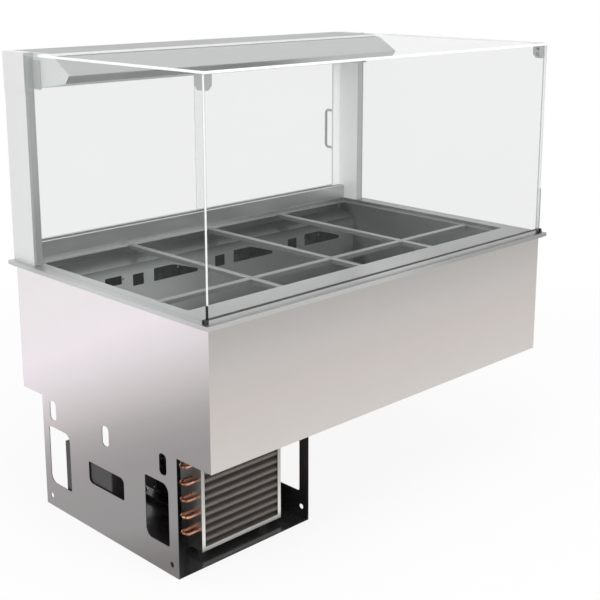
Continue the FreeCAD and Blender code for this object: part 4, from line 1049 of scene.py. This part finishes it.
@dataclass
class GlassCase:
    """Panes, clamps, front rail, posts, rear doors and their small fittings."""

    screw_r: float = 0.0045
    clearance: float = 0.0003
    arris: float = 0.0008
    sill_tones: Stops = (
        (0.012, (0.68, 0.69, 0.69)), (0.038, (0.68, 0.69, 0.685)), (0.060, (0.62, 0.625, 0.62)))
    rail_tones: Stops = (
        (-0.7135, even(0.03)), (-0.7110, even(0.15)), (0.7110, even(0.17)), (0.7135, even(0.27)))
    rose: Profile = (
        (0.0048, 0.0), (0.0085, 0.0), (0.0085, 0.0016), (0.0076, 0.0028), (0.0058, 0.0032),
        (0.0048, 0.0032), (0.0048, 0.0))
    handle_r: float = 0.005

    def build(self) -> None:
        """Dresses the case and adds its panes, clamp sockets and door fittings."""
        self.panes()
        satin = dress(BrushedSteel("fitting steel", (0.55, 0.56, 0.555), Axis.Z, 0.3), "corner_clamps")
        dress(Enamel("pivot black", (0.012, 0.012, 0.012), 0.4, dust=0.03), "pivot_blocks")
        dress(BrushedSteel("front rail steel", grain=Axis.X, tone_way=(1.0, 0.0, 0.0),
                           tones=self.rail_tones), "front_glass_rail")
        # Posts, stiles, caps and brackets: their tones by facing are painted light and shade, and the right
        # post and the stiles carry a painted glow.
        dress(AnodisedSection("left post anodised", (0.78, 0.785, 0.78), (0.42, 0.425, 0.425)),
              "post_left")
        dress(AnodisedSection("right post anodised", (0.94, 0.95, 0.94), (0.36, 0.365, 0.365),
                              roughness=0.12, metallic=0.05, painted_glow=0.10), "post_right")
        dress(AnodisedSection("stile anodised", (0.95, 0.96, 0.95), (0.98, 0.99, 0.98), metallic=0.0,
                              painted_glow=0.19), "door_left_stile", "door_right_stile")
        dress(AnodisedSection("post cap grey", (0.78, 0.785, 0.78), (0.50, 0.52, 0.51)),
              "post_caps")
        dress(AnodisedSection("bracket grey", (0.56, 0.585, 0.575), (0.50, 0.52, 0.51),
                              metallic=0.2), "canopy_brackets")
        dress(BrushedSteel("handle steel", (0.46, 0.47, 0.47), Axis.Z, 0.2), "door_handle")
        dress(BrushedSteel("sill steel", grain=Axis.X, roughness=0.34, tone_way=(0.0, 0.0, 1.0),
                           tones=self.sill_tones), "rear_sill")
        self.clamp_sockets(satin)
        self.handle_roses(satin)
        self.door_guides()

    def panes(self) -> None:
        """Own panes with polished arrises, a hair clear of what they stand against."""
        # The panes' edge colours are painted: white highlights on the front, door and roof panes, greys on
        # the side panes.
        front = PaneGlass("front pane", Axis.Y).material()
        door = PaneGlass("door pane", Axis.Y, edge_alpha=0.5).material()
        side = PaneGlass("side pane", Axis.X, edge_painted_light=(0.24, 0.26, 0.26), edge_alpha=0.08,
                         plain_way=(0.0, -1.0, 0.0), plain_shade=(0.42, 0.43, 0.43),
                         plain_alpha=0.9).material()
        roof = PaneGlass("roof pane", Axis.Z, face_alpha=0.04, edge_painted_light=(1.0, 1.0, 1.0),
                         edge_alpha=0.95, plain_way=(0.0, 1.0, 0.0)).material()
        for node, finish, body in (("front_glass", front, "front_glass"),
                                   ("side_glass_left", side, "cabinet"),
                                   ("side_glass_right", side, "cabinet"),
                                   ("roof_glass", roof, "cabinet"),
                                   ("door_left_glass", door, "rear_door_left"),
                                   ("door_right_glass", door, "rear_door_right")):
            low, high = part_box(node)
            pane = piece(f"{node}_pane", shrunk(low, high, self.clearance), finish, body,
                         bevel=self.arris, smooth=False)
            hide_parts(node)

    def clamp_sockets(self, satin: Material) -> None:
        """Socket heads over the clamps' screws, which look into the case."""
        low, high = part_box("corner_clamps")
        depth = high.y - low.y
        height = high.z - low.z
        spots = [(low.x + 0.0055, low.y + depth * 0.55, low.z + height * share) for share in (0.3, 0.68)]
        left = screws(spots, Axis.X, False, self.screw_r)
        right = screws([(-x, y, z) for x, y, z in spots], Axis.X, True, self.screw_r)
        piece("clamp_sockets", stacked([left, right]), satin, "cabinet")

    def handle_roses(self, satin: Material) -> None:
        """Turned rose round each foot of the door's handle."""
        low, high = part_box("door_handle")
        x = middle(low, high)[0]
        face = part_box("door_right_stile")[1].y
        spots = [(x, face, low.z + self.handle_r), (x, face, high.z - self.handle_r)]
        piece("handle_roses", stacked([lathe(self.rose, spot, Axis.Y) for spot in spots]), satin,
              "rear_door_right")

    def door_guides(self) -> None:
        """Nylon shoes at the foot of two door stiles, in the sill's grooves."""
        nylon = MouldedPlastic("guide nylon", (0.62, 0.62, 0.58), 0.5).material()
        for door, stile in (("left", "door_left_stile"), ("right", "door_right_stile")):
            low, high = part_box(stile)
            shoe = slab((low.x + 0.003, low.y + 0.0005, low.z + 0.0005),
                        (high.x - 0.004, high.y - 0.0005, low.z + 0.0085))
            grown = shoe[0].copy()
            grown[:, 1] += np.where(grown[:, 1] > (low.y + high.y) / 2, 0.0007, -0.0007)
            piece(f"door_{door}_guide", (grown, shoe[1]), nylon, f"rear_door_{door}",
                  bevel=0.0006)


@dataclass
class Canopy:
    """Lamp canopy between the posts, with its tube, sockets and opal cover."""

    slope: Triple = (0.0, -0.90, 0.43)

    def build(self) -> None:
        """Dresses the canopy and its lamp."""
        # Canopy housing and end caps: their tones by facing are painted light and shade.
        dress(AnodisedSection("canopy anodised", (0.26, 0.27, 0.265), (0.53, 0.55, 0.54),
                              under=(0.54, 0.545, 0.54), grain=Axis.X, metallic=0.7,
                              front_way=self.slope), "canopy_housing")
        dress(AnodisedSection("canopy end white", (0.80, 0.825, 0.815), (0.64, 0.66, 0.65),
                              front_way=self.slope), "canopy_end_caps")
        dress(OpalTube("lamp cover", (0.62, 0.64, 0.63)), "lamp_diffuser")
        dress(OpalTube("lamp tube glass", glow=0.15), "lamp_tube")
        dress(MouldedPlastic("lamp socket plastic", (0.75, 0.75, 0.73), 0.4), "lamp_sockets")


# ---------------------------------------------------------------- studio
@dataclass
class Studio:
    """White floor and surround, soft lamps and the camera near the photograph's viewpoint."""

    size_px: float = 600.0
    focal_px: float = 1145.4
    eye: Triple = (-2.4411, -2.5228, 0.8716)
    yaw_deg: float = 44.541
    pitch_deg: float = 12.889
    shift_y: float = -0.12
    ambient: float = 0.66
    floor_half: float = 9.0
    floor_points: int = 9
    floor_gap: float = 0.0004
    lamp_colour: Triple = (1.0, 0.985, 0.97)
    lamps: tuple[tuple[str, Triple, Triple, float, float], ...] = (
        ("lamp_left", (-3.4, -0.6, 1.9), (-0.6, 0.0, -0.1), 2.6, 40.0),
        ("lamp_above", (-0.3, -0.6, 3.4), (0.0, 0.0, 0.0), 3.0, 34.0),
        ("lamp_front", (0.4, -4.2, 1.3), (0.1, 0.0, -0.1), 3.0, 60.0))

    def build(self) -> None:
        """Makes the surround, the floor, the lamps and the camera."""
        scene = bpy.context.scene
        scene.view_settings.view_transform = "Standard"
        self.surround(scene)
        self.floor()
        for row in self.lamps:
            self.lamp(*row)
        self.camera(scene)

    def surround(self, scene: bpy.types.Scene) -> None:
        """White where it is seen, also through glass or reflected; a plain level where it lights."""
        world = bpy.data.worlds.new("surround")
        tree = Tree(world)
        output = tree.add("ShaderNodeOutputWorld")
        path = tree.add("ShaderNodeLightPath")
        lit = tree.add("ShaderNodeBackground")
        lit.inputs["Color"].default_value = (0.97, 0.985, 1.0, 1.0)
        lit.inputs["Strength"].default_value = self.ambient
        seen = tree.add("ShaderNodeBackground")
        seen.inputs["Color"].default_value = (1.0, 1.0, 1.0, 1.0)
        share = path.outputs["Is Camera Ray"]
        for ray in ("Is Transmission Ray", "Is Glossy Ray"):
            share = tree.sums("MAXIMUM", share, path.outputs[ray])
        tree.shared(share, lit.outputs[0], seen.outputs[0], output.inputs["Surface"])
        scene.world = world

    def floor(self) -> None:
        """Large flat floor at the bay's foot, nearly white to the camera and in reflections."""
        low = CAD_BOX[0].z - self.floor_gap
        count = self.floor_points
        line = np.linspace(-self.floor_half, self.floor_half, count)
        x, y = np.meshgrid(line, line, indexing="ij")
        points = np.stack([x.ravel(), y.ravel(), np.full(x.size, low)], 1)
        data = bpy.data.meshes.new("floor")
        data.from_pydata(points.tolist(), [], grid_faces(count, count, False).tolist())
        graph = Graph("floor white", 0.9)
        grain = graph.noise((4.0, 4.0, 4.0), 2.0, 0.5)
        graph.paint(graph.ramp(grain, [(0.3, even(0.93)), (0.7, even(0.95))]))
        path = graph.add("ShaderNodeLightPath")
        glow = graph.add("ShaderNodeEmission")
        glow.inputs["Color"].default_value = (1.0, 1.0, 1.0, 1.0)
        distance = graph.add("ShaderNodeVectorMath")
        distance.operation = "LENGTH"
        graph.join(graph.coords.outputs["Object"], distance.inputs[0])
        clear = graph.span(distance.outputs["Value"], 0.86, 1.0, 1.2, 3.0)
        seen = graph.sums("MAXIMUM", path.outputs["Is Camera Ray"], path.outputs["Is Glossy Ray"])
        share = graph.sums("MULTIPLY", seen, clear)
        graph.shared(share, graph.shader.outputs[0], glow.outputs[0], graph.output.inputs["Surface"])
        data.materials.append(graph.material)
        obj = bpy.data.objects.new("floor", data)
        bpy.context.scene.collection.objects.link(obj)

    def lamp(self, name: str, place: Triple, target: Triple, width: float, power: float) -> None:
        """Square soft lamp aimed at a point."""
        data = bpy.data.lights.new(name, "AREA")
        data.shape, data.size, data.energy = "SQUARE", width, power
        data.color = self.lamp_colour
        obj = bpy.data.objects.new(name, data)
        obj.location = place
        obj.rotation_mode = "QUATERNION"
        obj.rotation_quaternion = (Vector(target) - Vector(place)).to_track_quat("-Z", "Y")
        obj.visible_glossy = False
        bpy.context.scene.collection.objects.link(obj)

    def camera(self, scene: bpy.types.Scene) -> None:
        """Camera at the fitted eye point, turned by yaw and pitch, its lens from the focal length."""
        data = bpy.data.cameras.new("camera")
        data.sensor_width = 36.0
        data.lens = self.focal_px / self.size_px * data.sensor_width
        data.shift_y = self.shift_y
        data.clip_start, data.clip_end = 0.05, 60.0
        yaw, pitch = math.radians(self.yaw_deg), math.radians(self.pitch_deg)
        ahead = Vector((math.sin(yaw) * math.cos(pitch), math.cos(yaw) * math.cos(pitch), -math.sin(pitch)))
        obj = bpy.data.objects.new("camera", data)
        obj.location = self.eye
        obj.rotation_mode = "QUATERNION"
        obj.rotation_quaternion = ahead.to_track_quat("-Z", "Y")
        scene.collection.objects.link(obj)
        scene.camera = obj


def main() -> None:
    """Builds the sub-assemblies and the studio in order."""
    logging.basicConfig(level=logging.INFO, format="%(name)s %(message)s")
    for part in (Casing(), Well(), MachineBay(), Controls(), GlassCase(), Canopy(), Studio()):
        LOG.info("building %s", type(part).__name__)
        part.build()


if __name__ == "__main__":
    main()
